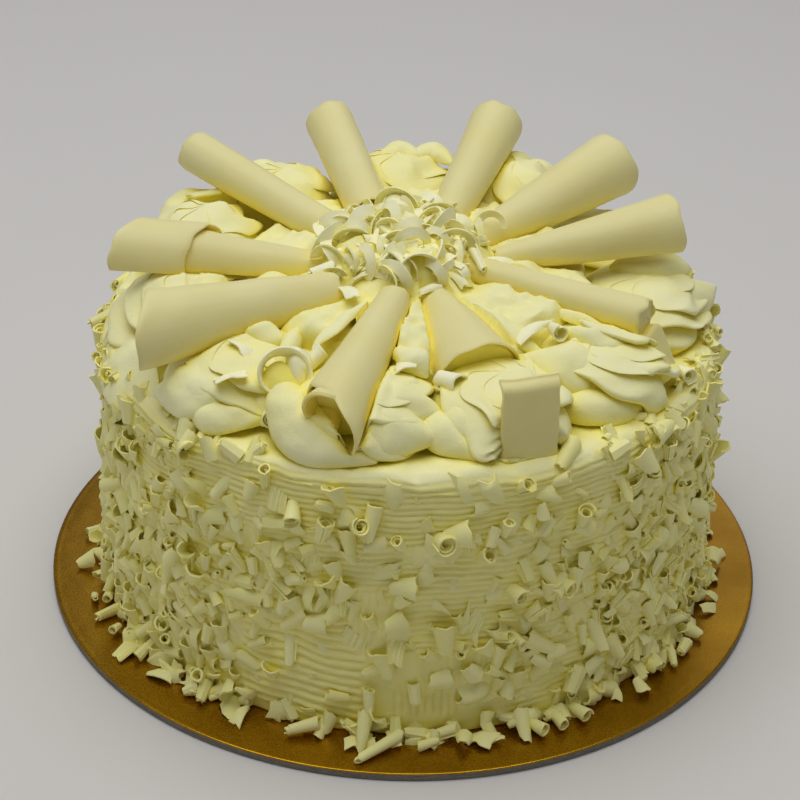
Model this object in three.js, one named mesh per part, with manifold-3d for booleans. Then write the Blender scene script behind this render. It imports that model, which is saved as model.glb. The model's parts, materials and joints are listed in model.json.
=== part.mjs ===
// Round white layer cake on its gold card: a cream side with small curls pressed on, a ring of
// piped rosettes, half-open chocolate rolls laid over them like spokes, and a heap of curls.
// Millimetres, +Z up. The origin is the middle of the card's underside and the front is -Y.
import * as THREE from 'three';
import { mergeVertices } from 'three/addons/utils/BufferGeometryUtils.js';
import Module from 'manifold-3d';

const wasm = await Module();
wasm.setup();

// Driving dimensions
const CLEARANCE = 0.3;
const BOARD_RADIUS = 127;
const BOARD_THICKNESS = 3;
const BOARD_SEGMENTS = 64;
const CAKE_RADIUS = 105;
const CAKE_HEIGHT = 96;
const CAKE_FOOT_SPREAD = 1.8;
const RIM_ROUND = 7;
const CAKE_SEGMENTS = 48;
const WALL_BANDS = 5;
const ROSETTE_COUNT = 11;
const ROSETTE_RING_RADIUS = 78;
const ROSETTE_RING_OFFSET = new THREE.Vector2(1, 2);
const ROSETTE_FIRST_AZIMUTH = -101.5;
const ROSETTE_RADIUS = 21.8;
const ROSETTE_HEIGHT = 25;
const ROSETTE_FOLDS = 6;
const ROSETTE_TWIST = -135;
const FOLD_DEPTHS = [0, 0.11, 0.27];
const ROLL_WALL = 1.5;
const ROLL_CURL_IN = 0.12;
const ROLL_SIDES = 12;
const BED_RADIUS = 53.5;
const BED_HEIGHT = 19.5;
const HEAP_RADIUS = 21;
const HEAP_HEIGHT = 10;
const HEAP_PLACE = new THREE.Vector2(-5, 4);
const HEAP_CURLS = 24;
const SIDE_CURL_ROWS = 12;
const SIDE_CURLS_A_ROW = 15;
const SIDE_CURL_STAND = 1.2;
const FOOT_CURL_STAND = 2.2;
const BARE_AZIMUTH = -84;
const BARE_HALF_WIDTH = 26;
const KEPT_IN_BARE = 0.3;

// Small curls: shortest and longest, thinnest and thickest
const SCROLL = { share: 0.5, length: [6.5, 11], radius: [1.5, 2.3], sides: 6 };
const CHIP = { share: 0.3, length: [6, 9.5], width: [4, 6], bend: [0.8, 2], thickness: 0.9 };
const SHARD = { length: [7, 11], width: [4, 5.5], thickness: 1 };

const CAKE_FOOT_Z = BOARD_THICKNESS + CLEARANCE;
const CAKE_TOP_Z = BOARD_THICKNESS + CAKE_HEIGHT;
const TOPPING_Z = CAKE_TOP_Z + CLEARANCE;
const HEAP_Z = CAKE_TOP_Z + BED_HEIGHT + CLEARANCE;

const CREAM = new THREE.MeshStandardMaterial({ color: 0xdedaaa, roughness: 0.55, metalness: 0 });
const CHOCOLATE = new THREE.MeshStandardMaterial({ color: 0xcfc58c, roughness: 0.45, metalness: 0 });
const GOLD_CARD = new THREE.MeshStandardMaterial({ color: 0x8a6a2c, roughness: 0.35, metalness: 0.8 });

const degrees = THREE.MathUtils.degToRad;
const lerp = THREE.MathUtils.lerp;

// Repeatable random numbers between 0 and 1
function randomFrom(seed) {
  let state = seed;
  return () => {
    state = (state * 1664525 + 1013904223) % 4294967296;
    return state / 4294967296;
  };
}

// A closed geometry as a solid that can be joined and cut
function solidOf(geometry) {
  const bare = geometry.clone();
  bare.deleteAttribute('normal');
  bare.deleteAttribute('uv');
  const merged = mergeVertices(bare, 1e-4);
  const corners = [];
  const index = merged.index.array;
  for (let i = 0; i < index.length; i += 3) {
    const [a, b, c] = [index[i], index[i + 1], index[i + 2]];
    if (a !== b && b !== c && c !== a) {
      corners.push(a, b, c);
    }
  }
  return new wasm.Manifold(new wasm.Mesh({
    numProp: 3,
    vertProperties: new Float32Array(merged.attributes.position.array),
    triVerts: new Uint32Array(corners),
  }));
}

function geometryOf(solid) {
  const mesh = solid.getMesh();
  const geometry = new THREE.BufferGeometry();
  geometry.setAttribute('position', new THREE.BufferAttribute(mesh.vertProperties, 3));
  geometry.setIndex(new THREE.BufferAttribute(mesh.triVerts, 1));
  return geometry;
}

// The main body of a solid: loose scraps go, and hollows that a join has sealed are filled
function mainBody(solid) {
  const bodies = solid.decompose();
  return bodies.reduce((best, body) => (body.volume() > best.volume() ? body : best));
}

function joined(solids) {
  return solids.reduce((whole, solid) => whole.add(solid));
}

function cutBy(solid, cutters) {
  return cutters.reduce((rest, cutter) => rest.subtract(cutter), solid);
}

// A closed profile of [radius, height] pairs turned about the Z axis
function turned(profile, segments) {
  const points = profile.map(([radius, height]) => new THREE.Vector2(radius, height));
  return new THREE.LatheGeometry(points, segments).rotateX(Math.PI / 2);
}

function polar(radius, azimuth, height) {
  const angle = degrees(azimuth);
  return new THREE.Vector3(radius * Math.cos(angle), radius * Math.sin(angle), height);
}

// Moves every vertex of a geometry by a function of its place
function reshape(geometry, move) {
  const position = geometry.attributes.position;
  const point = new THREE.Vector3();
  for (let i = 0; i < position.count; i += 1) {
    point.fromBufferAttribute(position, i);
    move(point);
    position.setXYZ(i, point.x, point.y, point.z);
  }
  return geometry;
}

// Card under the cake
function cakeBoard() {
  const profile = [
    [0, 0],
    [BOARD_RADIUS, 0],
    [BOARD_RADIUS, BOARD_THICKNESS],
    [0, BOARD_THICKNESS],
  ];
  return turned(profile, BOARD_SEGMENTS);
}

// Radius of the cream wall at a height
function wallRadius(height) {
  const rise = THREE.MathUtils.clamp((height - CAKE_FOOT_Z) / (CAKE_HEIGHT * 0.5), 0, 1);
  return CAKE_RADIUS + CAKE_FOOT_SPREAD * (1 - rise);
}

// Cream wall, a little uneven, with a rounded rim
function cakeCoat() {
  const profile = [[0, CAKE_FOOT_Z]];
  for (let band = 0; band < WALL_BANDS; band += 1) {
    const height = lerp(CAKE_FOOT_Z, CAKE_TOP_Z - RIM_ROUND, band / WALL_BANDS);
    profile.push([wallRadius(height), height]);
  }
  for (let step = 0; step <= 3; step += 1) {
    const angle = (step / 3) * (Math.PI / 2);
    profile.push([
      CAKE_RADIUS - RIM_ROUND * (1 - Math.cos(angle)),
      CAKE_TOP_Z - RIM_ROUND * (1 - Math.sin(angle)),
    ]);
  }
  profile.push([0, CAKE_TOP_Z]);
  return reshape(turned(profile, CAKE_SEGMENTS), (point) => {
    const azimuth = Math.atan2(point.y, point.x);
    const swell = 1 + 0.004 * Math.sin(3 * azimuth + point.z / 30) + 0.003 * Math.sin(7 * azimuth);
    point.x *= swell;
    point.y *= swell;
  });
}

// A small curl that lies along X: a rolled scroll, a bent chip or a pointed shard
function scroll(length, radius) {
  const geometry = new THREE.CylinderGeometry(radius, radius * 0.85, length, SCROLL.sides);
  return geometry.rotateZ(Math.PI / 2);
}

function chip(length, width, bend) {
  const geometry = new THREE.BoxGeometry(length, width, CHIP.thickness, 2, 1, 1);
  return reshape(geometry, (point) => {
    point.z -= bend * (2 * point.x / length) ** 2;
  });
}

function shard(length, width) {
  const geometry = new THREE.CylinderGeometry(width / 2, width / 2, SHARD.thickness, 3);
  return geometry.rotateX(Math.PI / 2).scale(length / width, 1, 1);
}

function smallCurl(random) {
  const between = ([low, high]) => lerp(low, high, random());
  const kind = random();
  if (kind < SCROLL.share) {
    return scroll(between(SCROLL.length), between(SCROLL.radius));
  }
  if (kind < SCROLL.share + CHIP.share) {
    return chip(between(CHIP.length), between(CHIP.width), between(CHIP.bend));
  }
  return shard(between(SHARD.length), between(SHARD.width));
}

// Difference of two azimuths in degrees, from 0 to 180
function azimuthBetween(first, second) {
  return Math.abs(THREE.MathUtils.euclideanModulo(first - second + 180, 360) - 180);
}

// Curls pressed on the side in staggered rows, close together but for a bare patch at the front
function sideCurls() {
  const random = randomFrom(1798);
  const step = 360 / SIDE_CURLS_A_ROW;
  const curls = [];
  for (let row = 0; row < SIDE_CURL_ROWS; row += 1) {
    const level = row / (SIDE_CURL_ROWS - 1);
    for (let place = 0; place < SIDE_CURLS_A_ROW; place += 1) {
      const azimuth = (place + (row % 2) / 2 + (random() - 0.5) * 0.7) * step;
      const height = lerp(CAKE_FOOT_Z + 5, CAKE_TOP_Z - 10, level) + (random() - 0.5) * 4;
      const outsideBare = azimuthBetween(azimuth, BARE_AZIMUTH) > BARE_HALF_WIDTH;
      const kept = outsideBare || row === 0 || random() < KEPT_IN_BARE;
      const geometry = smallCurl(random);
      geometry.rotateX((random() - 0.5) * 0.9);
      geometry.rotateZ(random() * Math.PI);
      geometry.rotateY((random() - 0.5) * 0.7);
      geometry.rotateY(Math.PI / 2);
      const stand = row === 0 ? FOOT_CURL_STAND : SIDE_CURL_STAND;
      geometry.translate(wallRadius(height) + stand, 0, 0);
      geometry.rotateZ(degrees(azimuth));
      geometry.translate(0, 0, height);
      if (kept) {
        curls.push(solidOf(geometry));
      }
    }
  }
  return curls;
}

// Slab that keeps the curls of the side above the card
function boardSpace() {
  const geometry = new THREE.BoxGeometry(3 * BOARD_RADIUS, 3 * BOARD_RADIUS, 2 * CAKE_FOOT_Z);
  return solidOf(geometry);
}

function cake(rooms) {
  const whole = joined([solidOf(cakeCoat()), ...sideCurls()]);
  return geometryOf(mainBody(cutBy(whole, [boardSpace(), ...rooms])));
}

// Bed of cream in the middle of the top, which the rolls sink into
function creamBed(rooms) {
  const profile = [
    [0, TOPPING_Z],
    [BED_RADIUS, TOPPING_Z],
    [BED_RADIUS, CAKE_TOP_Z + BED_HEIGHT * 0.3],
    [BED_RADIUS * 0.92, CAKE_TOP_Z + BED_HEIGHT * 0.8],
    [BED_RADIUS * 0.78, CAKE_TOP_Z + BED_HEIGHT],
    [0, CAKE_TOP_Z + BED_HEIGHT],
  ];
  return geometryOf(mainBody(cutBy(solidOf(turned(profile, 24)), rooms)));
}

// Large rolls: place of the inner and outer end, radius at both, and the part of the round that
// the sheet wraps (0 is its right side seen along the roll, 90 is up). Where they aren't usual:
// how much the sheet's edges curl inwards, and how far the outer and inner ends are cut aslant
const ROLLS = [
  { name: 'roll_a', inner: [-27, 18, 121], outer: [-79, 66, 129], radii: [6.5, 8], wrap: [-50, 230] },
  { name: 'roll_b', inner: [-14, 32, 121], outer: [-31.6, 93, 130.5], radii: [8, 9], wrap: [-40, 220] },
  { name: 'roll_c', inner: [12, 28, 121], outer: [31, 93, 131], radii: [6.5, 10], wrap: [-30, 220] },
  { name: 'roll_d', inner: [21, 12, 121], outer: [72, 62.5, 129], radii: [5.5, 12.3], wrap: [-20, 230] },
  { name: 'roll_e', inner: [29, 0, 121], outer: [90, 11, 128.5], radii: [4.5, 11.2], wrap: [-35, 215] },
  { name: 'roll_f', inner: [10, -1, 121], outer: [76.5, -36, 119.5], radii: [4.6, 7], wrap: [-60, 240] },
  { name: 'roll_g', inner: [6.5, -19, 119.5], outer: [22, -60, 109.5], radii: [4, 15.5], wrap: [-10, 200] },
  {
    name: 'roll_h',
    inner: [-5, -30, 121.5],
    outer: [-23.4, -91.5, 111.5],
    radii: [5.7, 11.3],
    wrap: [-25, 235],
    slant: 0.85,
  },
  {
    name: 'roll_i',
    inner: [-25, -22.5, 119.2],
    outer: [-84, -56, 121],
    radii: [7.5, 13.7],
    wrap: [-30, 230],
    slant: 0.6,
  },
  { name: 'roll_j', inner: [-29, -4, 118.4], outer: [-77, -7, 124], radii: [5.6, 9.8], wrap: [-10, 190] },
  {
    name: 'roll_k',
    inner: [-70, -6.8, 123.2],
    outer: [-95, -7.9, 125],
    radii: [11.6, 12.4],
    wrap: [-5, 175],
    slant: 0.5,
    innerSlant: 0.5,
    curlIn: 0,
  },
];

// The rolled sheet's section at unit radius: a band whose ends curl slightly inwards
function rollSection([from, to], wall, curlIn) {
  const steps = ROLL_SIDES - 1;
  const outside = [];
  const inside = [];
  for (let step = 0; step <= steps; step += 1) {
    const share = step / steps;
    const angle = degrees(lerp(from, to, share));
    const radius = 1 - curlIn * Math.abs(2 * share - 1) ** 3;
    outside.push(new THREE.Vector2(radius * Math.cos(angle), radius * Math.sin(angle)));
    inside.unshift(new THREE.Vector2((radius - wall) * Math.cos(angle), (radius - wall) * Math.sin(angle)));
  }
  return new THREE.Shape([...outside, ...inside]);
}

// Turns a geometry made along +Z, with +Y as its upper side, to run between two places
function layBetween(geometry, inner, outer) {
  const start = new THREE.Vector3(...inner);
  const along = new THREE.Vector3(...outer).sub(start).normalize();
  const side = new THREE.Vector3(0, 0, 1).cross(along).normalize();
  const up = along.clone().cross(side);
  return geometry.applyMatrix4(new THREE.Matrix4().makeBasis(side, up, along).setPosition(start));
}

function rollLength({ inner, outer }) {
  return new THREE.Vector3(...inner).distanceTo(new THREE.Vector3(...outer));
}

function roll(spec) {
  const length = rollLength(spec);
  const [innerRadius, outerRadius] = spec.radii;
  const slant = spec.slant ?? 0;
  const innerSlant = spec.innerSlant ?? 0;
  const section = rollSection(spec.wrap, ROLL_WALL / outerRadius, spec.curlIn ?? ROLL_CURL_IN);
  const geometry = new THREE.ExtrudeGeometry(section, { depth: length, steps: 1, bevelEnabled: false });
  reshape(geometry, (point) => {
    const share = point.z / length;
    const radius = lerp(innerRadius, outerRadius, share);
    point.x *= radius;
    point.y *= radius;
    point.z += point.x * lerp(innerSlant, slant, share);
  });
  return layBetween(geometry, spec.inner, spec.outer);
}

// The room a roll takes, with its hollow and a clearance all round
function rollRoom(spec) {
  const spare = CLEARANCE + 0.2;
  const roundUp = 1 / Math.cos(Math.PI / ROLL_SIDES);
  const innerReach = spare + Math.abs(spec.innerSlant ?? 0) * spec.radii[0];
  const outerReach = spare + Math.abs(spec.slant ?? 0) * spec.radii[1];
  const widening = ((spec.radii[1] - spec.radii[0]) / rollLength(spec)) * outerReach;
  const innerRadius = (spec.radii[0] + spare + widening) * roundUp;
  const outerRadius = (spec.radii[1] + spare + 2 * widening) * roundUp;
  const length = rollLength(spec) + innerReach + outerReach;
  const geometry = new THREE.CylinderGeometry(outerRadius, innerRadius, length, ROLL_SIDES);
  geometry.translate(0, length / 2 - innerReach, 0).rotateX(Math.PI / 2);
  return solidOf(layBetween(geometry, spec.inner, spec.outer));
}

// Broken pieces of roll: a tall bent plate standing in the cream and a small flat one
const PLATE = {
  width: 18,
  height: 27,
  bend: 40,
  thickness: 1.4,
  place: [38, -91, TOPPING_Z],
  turn: 12,
  lean: -4,
};
const FLAKE = { width: 10, height: 15, bend: 12, thickness: 1.2, place: [85, -42, 105], turn: 50, lean: -30 };

// A plate bent about an upright axis, its lower edge at the origin and its outer face to -Y
function bentPlate({ width, height, bend, thickness }) {
  const steps = 5;
  const halfAngle = width / bend / 2;
  const front = [];
  const back = [];
  for (let step = 0; step <= steps; step += 1) {
    const angle = lerp(-halfAngle, halfAngle, step / steps);
    front.push(new THREE.Vector2(bend * Math.sin(angle), bend - bend * Math.cos(angle)));
    const inner = bend - thickness;
    back.unshift(new THREE.Vector2(inner * Math.sin(angle), bend - inner * Math.cos(angle)));
  }
  const section = new THREE.Shape([...front, ...back]);
  return new THREE.ExtrudeGeometry(section, { depth: height, steps: 1, bevelEnabled: false });
}

function standingPlate(spec) {
  const geometry = bentPlate(spec);
  geometry.rotateX(degrees(spec.lean));
  geometry.rotateZ(degrees(spec.turn));
  return geometry.translate(...spec.place);
}

// The room a standing plate takes in the cream
function plateRoom(spec) {
  const spare = CLEARANCE + 0.1;
  const depth = spec.thickness + spec.width ** 2 / (8 * spec.bend) + 2 * spare;
  const geometry = new THREE.BoxGeometry(spec.width + 2 * spare, depth, spec.height + 2 * spare);
  geometry.translate(0, depth / 2 - spare, spec.height / 2);
  geometry.rotateX(degrees(spec.lean));
  geometry.rotateZ(degrees(spec.turn));
  return solidOf(geometry.translate(...spec.place));
}

// Piped rosette: broad folds with crisp edges that wind up round a blunt peak
function rosette(index, random) {
  const size = lerp(0.94, 1, random());
  const radius = ROSETTE_RADIUS * size;
  const height = ROSETTE_HEIGHT * lerp(0.88, 1.08, random());
  const profile = [
    [0, 0],
    [radius * 0.94, 0],
    [radius, height * 0.1],
    [radius, height * 0.24],
    [radius * 0.93, height * 0.38],
    [radius * 0.8, height * 0.54],
    [radius * 0.62, height * 0.7],
    [radius * 0.38, height * 0.86],
    [0, height],
  ];
  const columns = ROSETTE_FOLDS * FOLD_DEPTHS.length;
  const geometry = reshape(turned(profile, columns), (point) => {
    const reach = Math.hypot(point.x, point.y);
    if (reach < 1e-6) {
      return;
    }
    const angle = THREE.MathUtils.euclideanModulo(Math.atan2(point.y, point.x), 2 * Math.PI);
    const depth = FOLD_DEPTHS[Math.round((angle / (2 * Math.PI)) * columns) % FOLD_DEPTHS.length];
    const share = point.z / height;
    const folded = reach * (1 - depth * (point.z > 0 ? 1 : 0.6));
    const wound = angle + degrees(ROSETTE_TWIST) * share;
    point.x = folded * Math.cos(wound);
    point.y = folded * Math.sin(wound);
  });
  const azimuth = ROSETTE_FIRST_AZIMUTH + (index * 360) / ROSETTE_COUNT;
  geometry.rotateZ(random() * Math.PI);
  const place = polar(ROSETTE_RING_RADIUS, azimuth, TOPPING_Z);
  return geometry.translate(place.x + ROSETTE_RING_OFFSET.x, place.y + ROSETTE_RING_OFFSET.y, place.z);
}

// Heap of curls in the middle: a low mound with the curls that show fused on
function heap(rooms) {
  const random = randomFrom(64);
  const profile = [[0, 0]];
  for (let step = 0; step <= 4; step += 1) {
    const angle = (step / 4) * (Math.PI / 2);
    profile.push([HEAP_RADIUS * Math.cos(angle), HEAP_HEIGHT * Math.sin(angle)]);
  }
  profile[profile.length - 1][0] = 0;
  const solids = [solidOf(turned(profile, 16))];
  for (let place = 0; place < HEAP_CURLS; place += 1) {
    const share = (place + 0.5) / HEAP_CURLS;
    const spread = Math.sqrt(share);
    const azimuth = place * 137.5;
    const height = HEAP_HEIGHT * Math.sqrt(1 - (spread * 0.97) ** 2);
    const geometry = smallCurl(random);
    geometry.rotateX((random() - 0.5) * 1.2);
    geometry.rotateY((random() - 0.5) * 1.5);
    geometry.rotateZ(random() * 2 * Math.PI);
    const spot = polar(HEAP_RADIUS * spread * 0.95, azimuth, height + 0.8);
    solids.push(solidOf(geometry.translate(spot.x, spot.y, Math.max(spot.z, 3))));
  }
  const whole = joined(solids).translate([HEAP_PLACE.x, HEAP_PLACE.y, HEAP_Z]);
  return geometryOf(mainBody(cutBy(whole, rooms)));
}

const group = new THREE.Group();

function place(name, geometry, material) {
  const mesh = new THREE.Mesh(geometry, material.clone());
  mesh.name = name;
  group.add(mesh);
}

const rooms = [...ROLLS.map(rollRoom), plateRoom(PLATE), plateRoom(FLAKE)];

place('cake_board', cakeBoard(), GOLD_CARD);
place('cake', cake(rooms), CREAM);
place('cream_bed', creamBed(rooms), CREAM);
place('curl_heap', heap(rooms), CHOCOLATE);

const rosetteRandom = randomFrom(12);
for (let index = 0; index < ROSETTE_COUNT; index += 1) {
  const whole = solidOf(rosette(index, rosetteRandom));
  const label = String(index + 1).padStart(2, '0');
  place(`rosette_${label}`, geometryOf(mainBody(cutBy(whole, rooms))), CREAM);
}
for (const spec of ROLLS) {
  place(spec.name, roll(spec), CHOCOLATE);
}
place('roll_plate', standingPlate(PLATE), CHOCOLATE);
place('roll_flake', standingPlate(FLAKE), CHOCOLATE);

export default group;
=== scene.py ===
import json
import logging
import math
from collections.abc import Iterable
from dataclasses import dataclass, field
from enum import Enum

import bpy
import numpy as np
from mathutils import Matrix, Vector

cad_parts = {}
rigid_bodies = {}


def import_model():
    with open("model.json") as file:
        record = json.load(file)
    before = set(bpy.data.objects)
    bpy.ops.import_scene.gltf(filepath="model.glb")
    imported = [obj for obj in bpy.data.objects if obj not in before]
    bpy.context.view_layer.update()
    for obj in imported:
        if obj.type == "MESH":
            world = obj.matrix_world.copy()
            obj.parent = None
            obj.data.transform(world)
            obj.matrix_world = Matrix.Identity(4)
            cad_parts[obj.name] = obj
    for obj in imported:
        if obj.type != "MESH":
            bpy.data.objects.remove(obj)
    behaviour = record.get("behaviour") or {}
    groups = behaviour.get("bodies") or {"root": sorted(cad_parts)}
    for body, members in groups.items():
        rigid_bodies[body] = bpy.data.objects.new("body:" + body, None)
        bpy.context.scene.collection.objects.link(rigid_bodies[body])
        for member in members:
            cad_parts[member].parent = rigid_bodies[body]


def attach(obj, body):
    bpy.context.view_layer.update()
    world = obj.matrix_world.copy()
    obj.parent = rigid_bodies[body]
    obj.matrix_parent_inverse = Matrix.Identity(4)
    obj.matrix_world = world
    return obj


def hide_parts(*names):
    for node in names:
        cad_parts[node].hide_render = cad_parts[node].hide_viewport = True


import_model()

log = logging.getLogger("cake")
Array = np.ndarray
Point = tuple[float, float, float]
Colour = tuple[float, float, float]
Inputs = dict[str | int, object]
Material = bpy.types.Material
Node = bpy.types.Node
Piece = bpy.types.Object
Socket = bpy.types.NodeSocket
Tree = bpy.types.NodeTree

MM = 0.001
UP = np.array([0.0, 0.0, 1.0])
BODY = "root"

# Sizes of the solids, in millimetres, which the fine pieces keep to
CARD_RADIUS = 127.0
CARD_THICKNESS = 3.0
CAKE_RADIUS = 105.0
CAKE_HEIGHT = 96.0
FOOT_SPREAD = 1.8
FOOT_Z = 3.3
TOP_Z = 99.0
BED_RADIUS = 53.5
BED_HEIGHT = 19.5

# Rounding of the rim, level that rosettes and bed reach down to, lowest level of a curl, and the floor
RIM_ROUND = 5.0
SEAT_Z = 98.2
LOWEST_CURL_Z = CARD_THICKNESS + 0.05
FLOOR_Z = -0.05

# Turn in degrees from each place of the heap to the next
GOLDEN_ANGLE = 137.5

# Angles in degrees past which an edge is drawn sharp: never, on rolls and single curls, on curls laid in lots
SMOOTH = 180.0
CRISP = 50.0
CRISP_IN_LOTS = 42.0


def unit(vectors: Array) -> Array:
    """Scales vectors along the last axis to length one."""
    length = np.linalg.norm(vectors, axis=-1, keepdims=True)
    return vectors / np.maximum(length, 1e-9)


def ease(low: float, high: float, value: Array) -> Array:
    """Rises smoothly from 0 where the value is low to 1 where it is high."""
    share = np.clip((value - low) / (high - low), 0.0, 1.0)
    return share * share * (3.0 - 2.0 * share)


def smooth_line(points: list[tuple[float, ...]], count: int) -> Array:
    """Draws a Catmull-Rom line through points.

    Args:
        points: Points the line passes.
        count: Number of points on the line.

    Returns:
        The line as an array of count points.
    """
    knots = np.array(points, float)
    padded = np.vstack([2 * knots[0] - knots[1], knots, 2 * knots[-1] - knots[-2]])
    place = np.linspace(0, len(knots) - 1, count)
    index = np.minimum(place.astype(int), len(knots) - 2)
    t = (place - index)[:, None]
    p0, p1, p2, p3 = (padded[index + step] for step in range(4))
    square, cube = 2 * p0 - 5 * p1 + 4 * p2 - p3, 3 * p1 - p0 - 3 * p2 + p3
    return 0.5 * (2 * p1 + (p2 - p0) * t + square * t**2 + cube * t**3)


def turn_about(axis: Point, angle: float) -> Array:
    """Gives the 3 by 3 matrix of a turn, in degrees."""
    return np.array(Matrix.Rotation(math.radians(angle), 3, Vector(axis)))


def stacked(*parts: Array | float) -> Array:
    """Puts coordinates together along a new last axis."""
    return np.stack(np.broadcast_arrays(*parts), -1)


def polar(reach: Array | float, turn: Array, height: Array | float) -> Array:
    """Gives points round the upright through the middle, from reach, turn in radians, and height."""
    return stacked(reach * np.cos(turn), reach * np.sin(turn), height)


@dataclass(frozen=True)
class Ripple:
    """Smooth uneven field made of sine waves in many directions.

    Attributes:
        seed: Seed of the directions and phases.
        span: Typical distance between two swells, in millimetres.
        waves: Number of sine waves.
    """

    seed: int
    span: float
    waves: int = 12

    def at(self, points: Array) -> Array:
        """Values at points, about -1 to 1.

        Args:
            points: Places along the last axis, in millimetres.

        Returns:
            One value a place.
        """
        random = np.random.default_rng(self.seed)
        rate = 2 * math.pi / self.span * random.uniform(0.6, 1.5, (self.waves, 1))
        heading = unit(random.normal(size=(self.waves, points.shape[-1]))) * rate
        phase = random.uniform(0, 2 * math.pi, self.waves)
        return np.sin(points @ heading.T + phase).sum(-1) / math.sqrt(self.waves)


@dataclass
class Surface:
    """Points, faces and named values of a mesh that is being made.

    Attributes:
        points: Places in millimetres.
        faces: Corner numbers of each face.
        values: Named values, one a point.
    """

    points: Array
    faces: list[list[int]]
    values: dict[str, Array] = field(default_factory=dict)

    def moved(self, matrix: Array, place: Array) -> "Surface":
        """A copy that is turned by a 3 by 3 matrix and then shifted."""
        return Surface(self.points @ np.asarray(matrix).T + np.asarray(place), self.faces, dict(self.values))


def merged(surfaces: list[Surface]) -> Surface:
    """Joins surfaces into one.

    Args:
        surfaces: The surfaces, with the same named values.

    Returns:
        One surface.
    """
    faces: list[list[int]] = []
    start = 0
    for surface in surfaces:
        faces.extend([[corner + start for corner in face] for face in surface.faces])
        start += len(surface.points)
    names = surfaces[0].values
    values = {name: np.concatenate([surface.values[name] for surface in surfaces]) for name in names}
    return Surface(np.vstack([surface.points for surface in surfaces]), faces, values)


def set_values(mesh: bpy.types.Mesh, label: str, numbers: Array) -> None:
    """Stores a number or a vector for each point of a mesh.

    Args:
        mesh: The mesh.
        label: Name of the value.
        numbers: Numbers, whole numbers, or vectors along the last axis.
    """
    whole, vectors = numbers.dtype.kind == "i", numbers.ndim == 2
    kind = "INT" if whole else "FLOAT_VECTOR" if vectors else "FLOAT"
    data = mesh.attributes.new(label, kind, "POINT").data
    flat = numbers.astype(np.int32 if whole else np.float32).ravel()
    data.foreach_set("vector" if vectors else "value", flat)


def linked(name: str, data: bpy.types.ID) -> Piece:
    """Makes an object at the origin and links it to the scene.

    Args:
        name: Its name.
        data: Its mesh, camera or light.

    Returns:
        The object.
    """
    made = bpy.data.objects.new(name, data)
    bpy.context.scene.collection.objects.link(made)
    return made


def mesh_object(name: str, surface: Surface, finish: Material, crease: float = SMOOTH) -> Piece:
    """Makes a mesh object at the origin from a surface.

    Args:
        name: Name of the object.
        surface: The surface, in millimetres.
        finish: Its material.
        crease: Angle in degrees past which an edge is drawn sharp.

    Returns:
        The object, linked to the scene.
    """
    mesh = bpy.data.meshes.new(name)
    mesh.from_pydata((surface.points * MM).tolist(), [], surface.faces)
    for label, numbers in surface.values.items():
        set_values(mesh, label, numbers)
    mesh.shade_smooth()
    if crease < SMOOTH:
        mesh.set_sharp_from_angle(angle=math.radians(crease))
    mesh.materials.append(finish)
    mesh.validate()
    return linked(name, mesh)


def turned_form(rings: Array, foot: Array, peak: Array) -> Surface:
    """Closes rings of points, from the foot up to the peak, into one form.

    Args:
        rings: Rings of points, lowest first, counterclockwise seen from above.
        foot: The point that closes the foot.
        peak: The point that closes the top.

    Returns:
        The closed form.
    """
    rows, columns = rings.shape[:2]
    points = np.vstack([rings.reshape(-1, 3), foot, peak])
    index = np.arange(rows * columns).reshape(rows, columns)
    beside = np.roll(index, -1, axis=1)
    faces = np.stack([index[:-1], beside[:-1], beside[1:], index[1:]], axis=-1).reshape(-1, 4).tolist()
    for here, there in zip(range(columns), beside[0].tolist()):
        below, above = rows * columns, (rows - 1) * columns
        faces += [[below, there, here], [below + 1, above + here, above + there]]
    return Surface(points, faces)


def sheet_form(middle: Array, thickness: Array, soft_rim: bool = False) -> Surface:
    """Gives a curved sheet its thickness.

    Args:
        middle: Grid of points on the sheet's middle surface.
        thickness: Thickness at each point of the grid.
        soft_rim: True for a rounded edge all round.

    Returns:
        A closed form with the value "inside", 0 on the outer face and 1 on the inner face.
    """
    rows, columns = middle.shape[:2]
    normal = unit(np.cross(np.gradient(middle, axis=0), np.gradient(middle, axis=1)))
    half = 0.5 * np.broadcast_to(thickness, (rows, columns))[..., None]
    outer, inner = middle + half * normal, middle - half * normal
    count = rows * columns
    index = np.arange(count).reshape(rows, columns)
    here, right = index[:-1, :-1], index[:-1, 1:]
    above, across = index[1:, :-1], index[1:, 1:]
    top = np.stack([here, above, across, right], axis=-1).reshape(-1, 4)
    ring = np.concatenate([index[:, 0], index[-1, 1:], index[-2::-1, -1], index[0, -2:0:-1]])
    beside = np.roll(ring, -1)
    faces = top.tolist() + (top[:, ::-1] + count).tolist()
    points = [outer.reshape(-1, 3), inner.reshape(-1, 3)]
    inside = [np.zeros(count), np.ones(count)]
    if not soft_rim:
        faces += np.stack([beside, ring, ring + count, beside + count], axis=-1).tolist()
        return Surface(np.vstack(points), faces, {"inside": np.concatenate(inside)})
    row, column = np.divmod(ring, columns)
    within = middle[np.clip(row, 1, rows - 2), np.clip(column, 1, columns - 2)]
    edge = middle[row, column]
    proud = edge + unit(edge - within) * half[row, column] * 0.8
    points.append(proud)
    # The soft rim takes a little of the shade that the finishes paint on inner faces
    inside.append(np.full(len(ring), 0.3))
    bead = 2 * count + np.arange(len(ring))
    beyond = np.roll(bead, -1)
    faces += np.stack([beside, ring, bead, beyond], axis=-1).tolist()
    faces += np.stack([beyond, bead, ring + count, beside + count], axis=-1).tolist()
    return Surface(np.vstack(points), faces, {"inside": np.concatenate(inside)})


def feed(tree: Tree, socket: Socket, value: object) -> None:
    """Sets or links one input of a node.

    Args:
        tree: The tree of the node.
        socket: The input.
        value: A value or another node's output.
    """
    if isinstance(value, Socket):
        tree.links.new(value, socket)
    else:
        socket.default_value = value


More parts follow.
